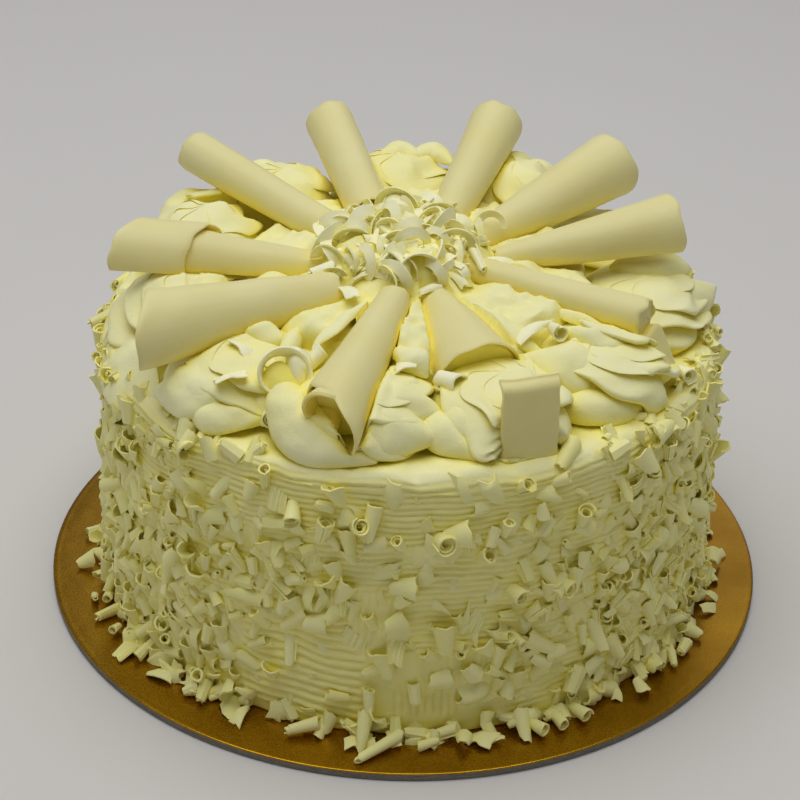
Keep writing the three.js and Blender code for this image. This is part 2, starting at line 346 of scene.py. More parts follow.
def add_node(tree: Tree, kind: str, inputs: Inputs | None = None, **settings: object) -> Node:
    """Adds a node to a tree.

    Args:
        tree: The tree.
        kind: The node's type.
        inputs: Values or sockets for its inputs, by name or number.
        settings: Properties of the node.

    Returns:
        The node.
    """
    made = tree.nodes.new(kind)
    for label, value in settings.items():
        setattr(made, label, value)
    for label, value in (inputs or {}).items():
        feed(tree, made.inputs[label], value)
    return made


class Weave:
    """A material's node tree, with short calls for the nodes the finishes share."""

    def __init__(self, name: str) -> None:
        """Starts an empty material.

        Args:
            name: Name of the material.
        """
        self.material = bpy.data.materials.new(name)
        self.material.use_nodes = True
        self.tree = self.material.node_tree
        self.tree.nodes.clear()
        self.place = self.node("ShaderNodeTexCoord").outputs["Object"]
        self.shader = self.node("ShaderNodeBsdfPrincipled")
        self.node("ShaderNodeOutputMaterial", {"Surface": self.shader.outputs["BSDF"]})

    def node(self, kind: str, inputs: Inputs | None = None, **settings: object) -> Node:
        """Adds a node to the material, as add_node does."""
        return add_node(self.tree, kind, inputs, **settings)

    def noise(
        self, scale: float, detail: float = 3.0, rough: float = 0.5, place: Socket | None = None
    ) -> Socket:
        """Adds a noise pattern, about 0 to 1, of so many features a metre."""
        inputs = {"Vector": place or self.place, "Scale": scale, "Detail": detail, "Roughness": rough}
        return self.node("ShaderNodeTexNoise", inputs).outputs["Fac"]

    def value(self, name: str) -> Socket:
        """Reads a named value of the mesh."""
        return self.node("ShaderNodeAttribute", attribute_name=name).outputs["Fac"]

    def span(self, value: Socket, low: float, high: float, first: float = 0.0, last: float = 1.0) -> Socket:
        """Maps a value from low..high to first..last."""
        inputs = {"Value": value, "From Min": low, "From Max": high, "To Min": first, "To Max": last}
        return self.node("ShaderNodeMapRange", inputs).outputs["Result"]

    def sum(self, first: Socket, second: Socket | float, operation: str = "ADD") -> Socket:
        """Joins two values by a sum, a product or the larger of both."""
        return self.node("ShaderNodeMath", {0: first, 1: second}, operation=operation).outputs[0]

    def blend(self, share: Socket, first: Socket | Colour, second: Socket | Colour) -> Socket:
        """Mixes two colours by the share of the second."""
        ends = [colour if isinstance(colour, Socket) else (*colour, 1.0) for colour in (first, second)]
        return self.node("ShaderNodeMix", {0: share, 6: ends[0], 7: ends[1]}, data_type="RGBA").outputs[2]

    def bump(self, height: Socket, depth: float, before: Socket | None = None) -> Socket:
        """Adds fine relief.

        Args:
            height: Socket of the relief, 0 to 1.
            depth: Depth in metres.
            before: Normal of a coarser relief.

        Returns:
            The normal.
        """
        inputs = {"Height": height, "Distance": depth, "Strength": 1.0}
        if before is not None:
            inputs["Normal"] = before
        return self.node("ShaderNodeBump", inputs).outputs["Normal"]

    def gap_shade(self, reach: float) -> Socket:
        """Mask for painted shade, from ambient occlusion: how far a place lies in a gap that is narrower than
        reach, 0 in the open and 1 deep inside.
        """
        opened = self.node("ShaderNodeAmbientOcclusion", {"Distance": reach}, samples=4).outputs["AO"]
        return self.span(opened, 0.84, 0.28)

    def finished(self, **inputs: object) -> Material:
        """Feeds the shader.

        Args:
            inputs: Values or sockets by input name, with _ for a space.

        Returns:
            The material.
        """
        for label, value in inputs.items():
            feed(self.tree, self.shader.inputs[label.replace("_", " ")], value)
        return self.material


@dataclass(frozen=True)
class CreamFinish:
    """Whipped lemon cream: soft, slightly clear, with tiny air bubbles, and painted shade of a deeper yellow
    in its folds and gaps.
    """

    name: str = "lemon_cream"
    pale: Colour = (0.935, 0.915, 0.55)
    rich: Colour = (0.93, 0.9, 0.46)
    # Deep yellow painted into folds and gaps as shade
    fold: Colour = (0.97, 0.87, 0.15)
    roughness: float = 0.52

    def make(self) -> Material:
        """Builds the material.

        Returns:
            The material.
        """
        weave = Weave(self.name)
        patches = weave.span(weave.noise(45.0, 3.0), 0.35, 0.65)
        body = weave.blend(patches, self.pale, self.rich)
        # Painted shade: the fold value and the nearness of other surfaces blend in the deep yellow
        shade = weave.sum(weave.value("fold"), weave.gap_shade(0.017), "MAXIMUM")
        colour = weave.blend(shade, body, self.fold)
        bubbles = weave.noise(1500.0, 2.0, 0.6)
        skin = weave.noise(330.0, 4.0, 0.55)
        relief = weave.bump(bubbles, 0.00008, weave.bump(skin, 0.00025))
        return weave.finished(
            Base_Color=colour,
            Roughness=weave.span(skin, 0.3, 0.7, self.roughness - 0.08, self.roughness + 0.1),
            Normal=relief,
            IOR=1.45,
            Specular_IOR_Level=0.2,
        )


@dataclass(frozen=True)
class ChocolateFinish:
    """White chocolate: satin ivory, with specks and faint streaks along the draw, and painted shade of a
    warmer yellow on the inner face and in gaps.
    """

    name: str = "white_chocolate"
    outside: Colour = (0.81, 0.735, 0.325)
    worn: Colour = (0.835, 0.775, 0.42)
    # Warm yellow painted on the inner face and in gaps as shade and as the glow of light through the hollow
    inside: Colour = (0.96, 0.78, 0.13)
    speck: Colour = (0.87, 0.83, 0.55)
    roughness: float = 0.36
    speck_share: float = 0.74

    def make(self) -> Material:
        """Builds the material.

        Returns:
            The material.
        """
        weave = Weave(self.name)
        along = {"X": weave.sum(weave.value("along"), 0.08, "MULTIPLY"), "Y": weave.value("around")}
        lanes = weave.node("ShaderNodeCombineXYZ", along).outputs["Vector"]
        streaks = weave.noise(0.45, 3.0, 0.6, lanes)
        cloud = weave.span(weave.noise(60.0, 3.0), 0.35, 0.65)
        body = weave.blend(weave.sum(weave.sum(cloud, streaks), 0.5, "MULTIPLY"), self.outside, self.worn)
        # Painted shade: inner faces and gaps take the warm yellow
        shade = weave.sum(weave.value("inside"), weave.gap_shade(0.012), "MAXIMUM")
        body = weave.blend(weave.sum(shade, 0.85, "MULTIPLY"), body, self.inside)
        dots = weave.span(weave.noise(900.0, 1.0), self.speck_share, self.speck_share + 0.05)
        colour = weave.blend(dots, body, self.speck)
        relief = weave.bump(streaks, 0.00006, weave.bump(weave.noise(700.0, 3.0), 0.00004))
        return weave.finished(
            Base_Color=colour,
            Roughness=weave.span(streaks, 0.3, 0.7, self.roughness - 0.05, self.roughness + 0.12),
            Normal=relief,
            Subsurface_Weight=0.3,
            Subsurface_Radius=(1.0, 0.92, 0.7),
            Subsurface_Scale=0.002,
            IOR=1.46,
            Specular_IOR_Level=0.3,
        )


@dataclass(frozen=True)
class ShavingFinish:
    """Thin shavings of white chocolate, each a little lighter or warmer than the next."""

    name: str
    light: Colour
    warm: Colour
    # Deep yellow painted on inner faces and in gaps as shade; reach is the width of gap that counts
    inside: Colour = (0.98, 0.9, 0.3)
    reach: float = 0.004
    roughness: float = 0.42

    def make(self) -> Material:
        """Builds the material.

        Returns:
            The material.
        """
        weave = Weave(self.name)
        body = weave.blend(weave.value("tone"), self.light, self.warm)
        # Painted shade: half of it on inner faces, all of it deep in gaps
        inner = weave.sum(weave.value("inside"), 0.5, "MULTIPLY")
        shade = weave.sum(inner, weave.gap_shade(self.reach), "MAXIMUM")
        body = weave.blend(weave.sum(shade, 0.8, "MULTIPLY"), body, self.inside)
        grain = weave.noise(900.0, 3.0, 0.6)
        body = weave.blend(weave.span(grain, 0.45, 0.75, 0.0, 0.25), body, self.warm)
        return weave.finished(
            Base_Color=body,
            Roughness=weave.span(grain, 0.3, 0.7, self.roughness - 0.06, self.roughness + 0.12),
            Normal=weave.bump(grain, 0.00012),
            Specular_IOR_Level=0.28,
        )


@dataclass(frozen=True)
class FoilFinish:
    """Gold foil on card: metal with a fine grain, soft dents and dull patches where crumbs were wiped."""

    name: str = "gold_foil"
    gold: Colour = (0.46, 0.245, 0.01)
    brown: Colour = (0.31, 0.155, 0.004)

    def make(self) -> Material:
        """Builds the material.

        Returns:
            The material.
        """
        weave = Weave(self.name)
        wiped = weave.noise(14.0, 4.0, 0.6)
        grain = weave.noise(1300.0, 2.0, 0.6)
        dents = weave.noise(70.0, 2.0)
        colour = weave.blend(weave.span(wiped, 0.35, 0.7), self.gold, self.brown)
        return weave.finished(
            Base_Color=colour,
            Metallic=0.92,
            Roughness=weave.span(weave.sum(wiped, grain), 0.7, 1.3, 0.2, 0.36),
            Normal=weave.bump(grain, 0.00003, weave.bump(dents, 0.0003)),
        )


@dataclass(frozen=True)
class CardFinish:
    """Cut edge and underside of grey card, in thin pressed layers."""

    name: str = "grey_card"
    light: Colour = (0.24, 0.22, 0.18)
    dark: Colour = (0.12, 0.105, 0.08)

    def make(self) -> Material:
        """Builds the material.

        Returns:
            The material.
        """
        weave = Weave(self.name)
        flat = weave.node("ShaderNodeMapping", {"Vector": weave.place, "Scale": (0.05, 0.05, 1.0)})
        layers = weave.noise(2600.0, 2.0, 0.6, flat.outputs["Vector"])
        fibres = weave.noise(900.0, 3.0, 0.6)
        share = weave.sum(weave.sum(layers, fibres), 0.5, "MULTIPLY")
        return weave.finished(
            Base_Color=weave.blend(weave.span(share, 0.35, 0.65), self.dark, self.light),
            Roughness=weave.span(fibres, 0.3, 0.7, 0.6, 0.8),
            Normal=weave.bump(share, 0.0001),
        )


@dataclass(frozen=True)
class FloorFinish:
    """Plain pale paper under the cake."""

    name: str = "pale_floor"
    grey: Colour = (0.7, 0.682, 0.672)

    def make(self) -> Material:
        """Builds the material.

        Returns:
            The material.
        """
        weave = Weave(self.name)
        cloth = weave.noise(9.0, 3.0)
        colour = weave.blend(cloth, self.grey, tuple(tone * 0.97 for tone in self.grey))
        return weave.finished(Base_Color=colour, Roughness=0.85, Specular_IOR_Level=0.1)


@dataclass(frozen=True)
class Finishes:
    """The materials of the whole cake."""

    cream: Material
    chocolate: Material
    side_shaving: Material
    heap_shaving: Material
    foil: Material
    card: Material
    floor: Material


def make_finishes() -> Finishes:
    """Builds every material once.

    Returns:
        The materials.
    """
    # Lit and shaded copies of one chocolate: the side copy a deeper yellow as painted shade on the wall, the
    # heap copy paler and brighter as painted light through the thin shavings; the heap's third colour is its
    # painted shade of inner faces and gaps
    side = ShavingFinish("side_shavings", (0.915, 0.885, 0.43), (0.9, 0.86, 0.34))
    heap = ShavingFinish("heap_shavings", (0.99, 0.975, 0.7), (0.98, 0.95, 0.58), (1.0, 0.93, 0.32), 0.006)
    return Finishes(
        cream=CreamFinish().make(),
        chocolate=ChocolateFinish().make(),
        side_shaving=side.make(),
        heap_shaving=heap.make(),
        foil=FoilFinish().make(),
        card=CardFinish().make(),
        floor=FloorFinish().make(),
    )


def keep(piece: Piece, node: str) -> None:
    """Ties a finished piece to the frame and reports it.

    Args:
        piece: The piece.
        node: CAD node that it stands for.
    """
    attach(piece, BODY)
    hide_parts(node)
    log.info("%s: %d faces, for %s", piece.name, len(piece.data.polygons), node)


@dataclass
class Studio:
    """Camera at the photograph's angle, soft lights and a pale floor."""

    lens: float = 99.0
    sensor: float = 36.0
    aim: Point = (-2.6, 0.0, 65.4)
    distance: float = 774.0
    elevation: float = 30.66
    roll: float = 1.34
    lit: Point = (0.0, 0.0, 60.0)
    floor_size: float = 9000.0

    def set_camera(self) -> None:
        """Creates the camera and makes it the scene's."""
        tilt, roll = math.radians(self.elevation), math.radians(self.roll)
        back = Vector((0.0, -math.cos(tilt), math.sin(tilt)))
        right = Vector((1.0, 0.0, 0.0))
        up = right.cross(-back)
        across = math.cos(roll) * right + math.sin(roll) * up
        upright = -math.sin(roll) * right + math.cos(roll) * up
        spin = Matrix((across, upright, back)).transposed().to_4x4()
        data = bpy.data.cameras.new("camera")
        data.lens, data.sensor_width = self.lens, self.sensor
        data.clip_start, data.clip_end = 0.01, 50.0
        camera = linked("camera", data)
        camera.matrix_world = Matrix.Translation((Vector(self.aim) + back * self.distance) * MM) @ spin
        bpy.context.scene.camera = camera

    def add_light(self, name: str, place: Point, size: float, power: float, colour: Colour) -> None:
        """Adds a square soft light that points at the cake.

        Args:
            name: Name of the light.
            place: Place in metres.
            size: Side in metres.
            power: Power in watts.
            colour: Colour of the light.
        """
        data = bpy.data.lights.new(name, "AREA")
        data.size, data.energy, data.color = size, power, colour
        lamp = linked(name, data)
        lamp.location = place
        lamp.rotation_euler = (Vector(self.lit) * MM - Vector(place)).to_track_quat("-Z", "Y").to_euler()

    def light_up(self) -> None:
        """Adds the soft lights and the even light of the room."""
        self.add_light("overhead", (-0.1, 0.04, 1.4), 1.3, 13.6, (1.0, 1.0, 0.99))
        self.add_light("left_fill", (-1.6, -0.6, 0.8), 1.6, 1.25, (1.0, 1.0, 1.0))
        self.add_light("right_fill", (1.6, -0.3, 0.8), 1.6, 0.5, (1.0, 0.97, 0.9))
        self.add_light("back_panel", (0.3, 2.6, 1.7), 1.6, 5.0, (1.0, 0.99, 0.98))
        world = bpy.data.worlds.new("room")
        world.use_nodes = True
        room = world.node_tree.nodes["Background"].inputs
        room["Color"].default_value = (1.0, 0.99, 0.98, 1.0)
        room["Strength"].default_value = 0.165
        bpy.context.scene.world = world
        bpy.context.scene.view_settings.view_transform = "Standard"

    def lay_floor(self, finish: Material) -> None:
        """Lays the floor.

        Args:
            finish: Its material.
        """
        half = self.floor_size / 2
        corners = [(x * half, y * half, FLOOR_Z) for x, y in ((-1, -1), (1, -1), (1, 1), (-1, 1))]
        mesh_object("floor", Surface(np.array(corners), [[0, 1, 2, 3]]), finish)


@dataclass
class GoldCard:
    """Round cake card: foil on top, turned over a soft pressed edge, and grey card under it."""

    radius: float = CARD_RADIUS
    thickness: float = CARD_THICKNESS
    segments: int = 288
    layers: int = 7
    foil_from: float = 2.56
    seed: int = 3

    def profile(self) -> list[tuple[float, float]]:
        """Draws the section, from the underside over the layered edge and the turned foil to the middle.

        Returns:
            Radius and height of each point.
        """
        foot = [(1.2, 0.0), (0.35, 0.12), (0.1, 0.5)]
        last = self.layers - 1
        edge = [(0.05 + 0.12 * (layer % 2), 0.6 + 1.9 * layer / last) for layer in range(self.layers)]
        fold = [(0.0, 2.62), (0.12, 2.86), (0.5, 2.99), (1.6, 2.93), (3.2, 2.97)]
        line = [(self.radius - inset, height) for inset, height in foot + edge + fold]
        return line + [(self.radius * share, self.thickness) for share in np.linspace(0.965, 0.05, 22)]

    def build(self, finishes: Finishes) -> None:
        """Makes the card.

        Args:
            finishes: The materials.
        """
        angle = np.linspace(0, 2 * math.pi, self.segments, endpoint=False)
        radius, height = np.array(self.profile()).T[..., None]
        rings = polar(radius, angle, height)
        swell = np.minimum(Ripple(self.seed, 70.0).at(rings[..., :2]) * 0.05, 0.0)
        rings[..., 2] += np.where(rings[..., 2] > self.foil_from, swell, 0.0)
        form = turned_form(rings, np.zeros(3), np.array([0.0, 0.0, self.thickness]))
        made = mesh_object("gold_card", form, finishes.card)
        made.data.materials.append(finishes.foil)
        middle = np.array([form.points[face, 2].mean() for face in form.faces])
        made.data.polygons.foreach_set("material_index", (middle > self.foil_from).astype(np.int32))
        keep(made, "cake_board")


@dataclass(frozen=True)
class CombStroke:
    """One pass of the toothed comb on the wall.

    Attributes:
        azimuth: Middle of the stroke, in degrees.
        height: Middle of the stroke above the floor.
        width: Length along the stroke.
        tall: Width across the stroke.
        slope: Direction in degrees, 0 for level and 90 for upright.
        pitch: Distance between two teeth.
        depth: Depth of the grooves.
    """

    azimuth: float
    height: float
    width: float
    tall: float
    slope: float
    pitch: float
    depth: float

    def press(self, relief: Array, azimuth: Array, height: Array) -> Array:
        """Draws the stroke over what the wall shows so far.

        Args:
            relief: Relief so far, in millimetres outwards.
            azimuth: Azimuths in degrees.
            height: Heights in millimetres.

        Returns:
            The new relief.
        """
        across = np.radians((azimuth - self.azimuth + 180.0) % 360.0 - 180.0) * CAKE_RADIUS
        up = height - self.height
        turn = math.radians(self.slope)
        along = across * math.cos(turn) + up * math.sin(turn)
        over = up * math.cos(turn) - across * math.sin(turn)
        wave = over + 0.3 * np.sin(along / 7.0 + self.azimuth) + 0.18 * np.sin(along / 2.9 + 3 * self.height)
        ends = 1 - ease(0.82, 1.0, np.abs(along) / (self.width / 2))
        sides = 1 - ease(0.86, 1.0, np.abs(over) / (self.tall / 2))
        ridge = (np.abs(np.sin(math.pi * wave / self.pitch)) - 0.64) * self.depth * 0.85
        share = ends * sides
        return relief * (1 - share) + ridge * share


@dataclass
class CreamCoat:
    """Cream round the cake: a combed wall, a soft rim and a smoothed top."""

    columns: int = 400
    wall_rows: int = 184
    rim_rows: int = 14
    top_rows: int = 24
    passes: int = 26
    seed: int = 21

    def strokes(self) -> list[CombStroke]:
        """Lists the passes of the comb: drawn ones first, the ones that the photograph shows last.

        Returns:
            The passes.
        """
        random = np.random.default_rng(self.seed)
        drawn = []
        for _ in range(self.passes):
            slope = 90.0 if random.random() < 0.25 else random.uniform(-9, 9)
            place = random.uniform(-180, 180), random.uniform(14, 70)
            width = random.uniform(18, 30) if slope == 90.0 else random.uniform(35, 75)
            tall, pitch, depth = (random.uniform(*ends) for ends in ((18, 34), (2.1, 3.2), (0.7, 1.1)))
            drawn.append(CombStroke(*place, width, tall, slope, pitch, depth))
        return drawn + [
            CombStroke(0, 86.5, 2000, 27, 0, 2.15, 0.85),
            CombStroke(-140, 58, 48, 30, 7, 2.4, 0.8),
            CombStroke(-75, 52, 62, 40, -1.5, 2.3, 0.8),
            CombStroke(-60, 22, 52, 26, 2, 2.7, 0.8),
            CombStroke(-108, 25, 46, 40, -3.5, 3.3, 1.3),
            CombStroke(-86, 20, 26, 24, 90, 2.5, 0.95),
            CombStroke(-96, 47, 22, 10, 84, 2.6, 0.8),
        ]

    def wall_radius(self, height: Array) -> Array:
        """Radius of the wall at a height, as in the solid."""
        return CAKE_RADIUS + FOOT_SPREAD * (1 - np.clip((height - FOOT_Z) / (CAKE_HEIGHT * 0.5), 0, 1))

    def swell(self, azimuth: Array, height: Array) -> Array:
        """Unevenness of the whole wall, as in the solid."""
        turn = np.radians(azimuth)
        return 1 + 0.004 * np.sin(3 * turn + height / 30) + 0.003 * np.sin(7 * turn)

    def azimuths(self) -> Array:
        """Spaces the columns, closest together where the comb shows.

        Returns:
            Azimuths in degrees.
        """
        fine = np.linspace(-180, 180, 2000)
        weight = 1 + 1.7 * np.exp(-(((fine + 88) / 42) ** 4))
        total = np.concatenate([[0], np.cumsum((weight[1:] + weight[:-1]) / 2)])
        return np.interp(np.linspace(0, total[-1], self.columns, endpoint=False), total, fine)

    def build(self, finishes: Finishes) -> None:
        """Makes the coat.

        Args:
            finishes: The materials.
        """
        azimuth = self.azimuths()
        wall_top = TOP_Z - RIM_ROUND
        heights = np.linspace(FOOT_Z, wall_top, self.wall_rows)
        rows = [(self.wall_radius(height), height) for height in heights]
        for step in range(1, self.rim_rows + 1):
            angle = step / self.rim_rows * math.pi / 2
            reach = CAKE_RADIUS - RIM_ROUND * (1 - math.cos(angle))
            rows.append((reach, TOP_Z - RIM_ROUND * (1 - math.sin(angle))))
        flat = CAKE_RADIUS - RIM_ROUND
        rows += [(flat * (1 - step / self.top_rows), TOP_Z) for step in range(1, self.top_rows)]
        turn = np.radians(azimuth)
        form = np.array([polar(reach * self.swell(azimuth, height), turn, height) for reach, height in rows])
        band = form[: self.wall_rows + self.rim_rows]
        level = band[..., 2].copy()
        relief = Ripple(self.seed + 1, 26.0).at(band) * 0.5 + Ripple(self.seed + 2, 6.0).at(band) * 0.14
        relief *= 1 - ease(wall_top, TOP_Z, level)
        combed = np.zeros_like(level)
        facing = np.broadcast_to(azimuth, level.shape)
        for stroke in self.strokes():
            combed = stroke.press(combed, facing, level)
        fade = 1 - ease(TOP_Z - 2.6, TOP_Z - 0.8, level)
        band[..., :2] += unit(band[..., :2]) * (relief + combed * fade)[..., None]
        rim = form[self.wall_rows :]
        bow = ease(CAKE_RADIUS - 30, CAKE_RADIUS - 4, np.linalg.norm(rim[..., :2], axis=-1))
        rim[..., 2] += Ripple(self.seed + 3, 34.0).at(rim[..., :2]) * (0.25 + 0.5 * bow)
        rim[..., 2] += Ripple(self.seed + 4, 9.0).at(rim[..., :2]) * (0.12 + 0.2 * bow)
        surface = turned_form(form, UP * FOOT_Z, UP * TOP_Z)
        # Painted shade: the wall, which faces away from the overhead light, takes some of the deep fold
        # yellow, and the comb's grooves take more
        fold = np.zeros(len(surface.points))
        fold[: level.size] = (0.36 * fade + np.clip(-0.7 * combed * fade, 0, 0.6)).ravel()
        surface.values["fold"] = fold
        keep(mesh_object("cream_coat", surface, finishes.cream), "cake")


@dataclass(frozen=True)
class Roll:
    """Large half-open roll of white chocolate.

    Attributes:
        letter: Letter of the roll.
        inner: Middle of its end towards the centre.
        outer: Middle of its outer end.
        radii: Radius at the inner and the outer end.
        wrap: Part of the round that the sheet covers, in degrees: 0 is its right side, 90 is up.
        slant: How far the outer end is cut aslant.
        inner_slant: The same for the inner end.
        tails: Length of the sheet past its first and its last edge that curls up inside, in radii.
        close: Bend of those tails at their ends, as a multiple of the roll's own bend.
        sink: Share of the radius that the cream under it is pressed down.
        ragged: Unevenness of the ends.
        core: True where the roll is wound tight to its middle.
        sheet: Thickness of the sheet.
    """

    letter: str
    inner: Point
    outer: Point
    radii: tuple[float, float]
    wrap: tuple[float, float]
    slant: float = 0.0
    inner_slant: float = 0.0
    tails: tuple[float, float] = (0.0, 0.0)
    close: tuple[float, float] = (1.3, 1.3)
    sink: float = 1.0
    ragged: float = 0.6
    core: bool = False
    sheet: float = 1.4

    def basis(self) -> tuple[Array, Array, float]:
        """Start, directions and length.

        Returns:
            The start, the rows side, up and along, and the length.
        """
        start = np.array(self.inner, float)
        along = np.array(self.outer, float) - start
        length = float(np.linalg.norm(along))
        along = along / length
        side = unit(np.cross([0.0, 0.0, 1.0], along))
        return start, np.array([side, np.cross(along, side), along]), length

    def radius_at(self, share: Array) -> Array:
        """Radius at a share of the length."""
        return self.radii[0] + (self.radii[1] - self.radii[0]) * share

    def press(self, points: Array) -> Array:
        """Presses cream down under the roll.

        Args:
            points: Points of the cream.

        Returns:
            The pressed points.
        """
        start, rows, length = self.basis()
        local = (points - start) @ rows.T
        share = local[..., 2] / length
        radius = self.radius_at(np.clip(share, 0, 1)) + 0.2
        room = np.maximum(radius**2 - local[..., 0] ** 2, 0.0)
        floor = -np.sqrt(room) * self.sink
        end = 1.0 + local[..., 0] * self.slant / length
        within = (room > 0) & (local[..., 1] > floor) & (share > 0.02) & (share < end)
        pressed = local.copy()
        pressed[..., 1] = np.where(within, floor, local[..., 1])
        # The cream that gives way stands as a low bead beside the roll
        beside = np.abs(local[..., 0]) - radius
        bead = (beside > 0) & (beside < 4) & (share > 0) & (share < 1)
        lift = np.where(bead, 1 - np.abs(beside - 1.6) / 2.4, 0)
        near = np.exp(-((local[..., 1] / (radius * 0.8)) ** 2))
        pressed[..., 1] += np.clip(lift, 0, 1) * near * 0.8
        return pressed @ rows + start

    def arm(self, side: int, count: int) -> tuple[Array, Array]:
        """Half of the unit section, from the top down to one edge of the sheet and on along its tail.

        Args:
            side: 0 for the right half, 1 for the left half.
            count: Number of points.

        Returns:
            The points and the length of sheet from the top to each.
        """
        main = math.radians(abs(self.wrap[side] - 90.0))
        total = main + self.tails[side]
        run = np.linspace(0, total, count)
        bend = 1 + 0.3 * ease(0.55 * main, main, run)
        if self.tails[side] > 0:
            bend += (self.close[side] - 1.3) * ease(main * 0.95, main + 0.75 * self.tails[side], run)
        heading = np.concatenate([[0], np.cumsum((bend[1:] + bend[:-1]) / 2)]) * total / (count - 1)
        step = np.stack([np.cos(heading), -np.sin(heading)], -1) * total / (count - 1)
        path = np.vstack([[0.0, 1.0], [0.0, 1.0] + np.cumsum((step[1:] + step[:-1]) / 2, axis=0)])
        return path * np.array([1.0 if side == 0 else -1.0, 1.0]), run

    def build(self, finishes: Finishes) -> None:
        """Makes the roll.

        Args:
            finishes: The materials.
        """
        start, rows, length = self.basis()
        number = ord(self.letter)
        right, right_run = self.arm(0, 26 + int(8 * self.tails[0]))
        left, left_run = self.arm(1, 26 + int(8 * self.tails[1]))
        section = np.vstack([left[:0:-1], right])
        run = np.concatenate([left_run[:0:-1] * -1, right_run])
        share = np.linspace(0, 1, 56)[:, None]
        size = self.radius_at(share) - self.sheet / 2
        lie = stacked(share * length, run * 9, number)
        size = size * (1 + Ripple(number, 34.0, 8).at(lie) * 0.018)
        x, y = section[:, 0] * size, section[:, 1] * size
        edge = stacked(section[:, 0] * 6, section[:, 1] * 6, run)
        near_end = Ripple(number + 40, 6.0).at(edge) * self.ragged
        far_end = Ripple(number + 80, 6.0).at(edge) * self.ragged
        slope = self.inner_slant + (self.slant - self.inner_slant) * share
        z = share * length + x * slope + near_end * (1 - share) + far_end * share
        middle = stacked(x, y, z)
        rim = np.minimum(share, 1 - share) * length
        thickness = self.sheet * (0.6 + 0.4 * ease(0, 1.8, rim)) + 0 * run
        thickness[:, :2] *= 0.75
        thickness[:, -2:] *= 0.75
        form = sheet_form(middle, thickness, soft_rim=True)
        points = form.points @ rows + start
        ring = np.zeros(len(points) - 2 * middle[..., 0].size)
        along = np.concatenate([lie[..., 0].ravel()] * 2 + [ring])
        around = np.concatenate([(run * self.radii[1] + 0 * share).ravel()] * 2 + [ring]) + number
        values = {"inside": form.values["inside"], "along": along, "around": around}
        node = f"roll_{self.letter}"
        made = mesh_object(f"{node}_sheet", Surface(points, form.faces, values), finishes.chocolate, CRISP)
        if self.core:
            core = self.filling(0.02, 1.0, 0.93, 0.0)
            keep(mesh_object(f"{node}_core", core, finishes.chocolate, CRISP), node)
        keep(made, node)

    def filling(self, begin: float, end: float, scale: float, fold: float) -> Surface:
        """Shapes what fills the roll, between two shares of its length.

        Args:
            begin: Share of the length where it begins.
            end: Share of the length where it ends.
            scale: Share of the roll's radius.
            fold: Depth of the painted fold shade in its colour.

        Returns:
            The surface.
        """
        start, rows, length = self.basis()
        angle = np.linspace(0, 2 * math.pi, 40, endpoint=False)
        share = np.concatenate([[begin] * 3, np.linspace(begin, end - 0.004, 24), [end] * 3])
        spread = scale * np.concatenate([[0.2, 0.55, 0.85], np.full(24, 1.0), [0.92, 0.6, 0.2]])
        reach = (self.radius_at(share) * spread)[:, None] * (1 + 0.03 * np.sin(2 * angle + 1))
        dent = 0.35 * np.sin(reach * 2.3 + angle) * (spread[:, None] < 0.9 * scale)
        rings = polar(reach, angle, share[:, None] * length + dent) @ rows + start
        surface = turned_form(rings, rings[0].mean(0), rings[-1].mean(0))
        for label, value in (("inside", 0.0), ("along", 0.0), ("around", 0.0), ("fold", fold)):
            surface.values[label] = np.full(len(surface.points), value)
        return surface


ROLLS = [
    Roll("a", (-27, 18, 121), (-79, 66, 129), (6.5, 8), (-50, 230), tails=(0, 1.2), close=(1.3, 2.0)),
    Roll("b", (-14, 32, 121), (-31.6, 93, 130.5), (8, 9), (-40, 220)),
    Roll("c", (12, 28, 121), (31, 93, 131), (6.5, 10), (-30, 220)),
    Roll("d", (21, 12, 121), (72, 62.5, 129), (5.5, 12.3), (-20, 230)),
    Roll("e", (29, 0, 121), (90, 11, 130.8), (4.5, 11.2), (-35, 215)),
    Roll(
        "f", (10, -1, 121), (76.5, -36, 119.5), (4.6, 7), (-60, 240),
        tails=(0, 1.4), close=(1.3, 1.9), core=True,
    ),
    Roll(
        "g", (6.5, -19, 119.5), (22, -60, 109.5), (4, 15.5), (-10, 185),
        tails=(0, 1.5), close=(1.3, 4.6), sink=-0.55,
    ),
    Roll(
        "h", (-5, -30, 121.5), (-23.4, -91.5, 111.5), (5.7, 11.3), (-25, 195), 0.85,
        tails=(0, 2.6), close=(1.3, 2.9),
    ),
    Roll("i", (-25, -22.5, 119.2), (-84, -56, 121), (7.5, 13.7), (-30, 230), slant=0.6),
    Roll("j", (-29, -4, 118.4), (-77, -7, 124), (5.6, 9.8), (-10, 190), sink=0.3),
    Roll("k", (-70, -6.8, 123.2), (-95, -7.9, 125), (11.6, 12.4), (-5, 175), 0.5, 0.5, sink=0.2, ragged=1.0),
]


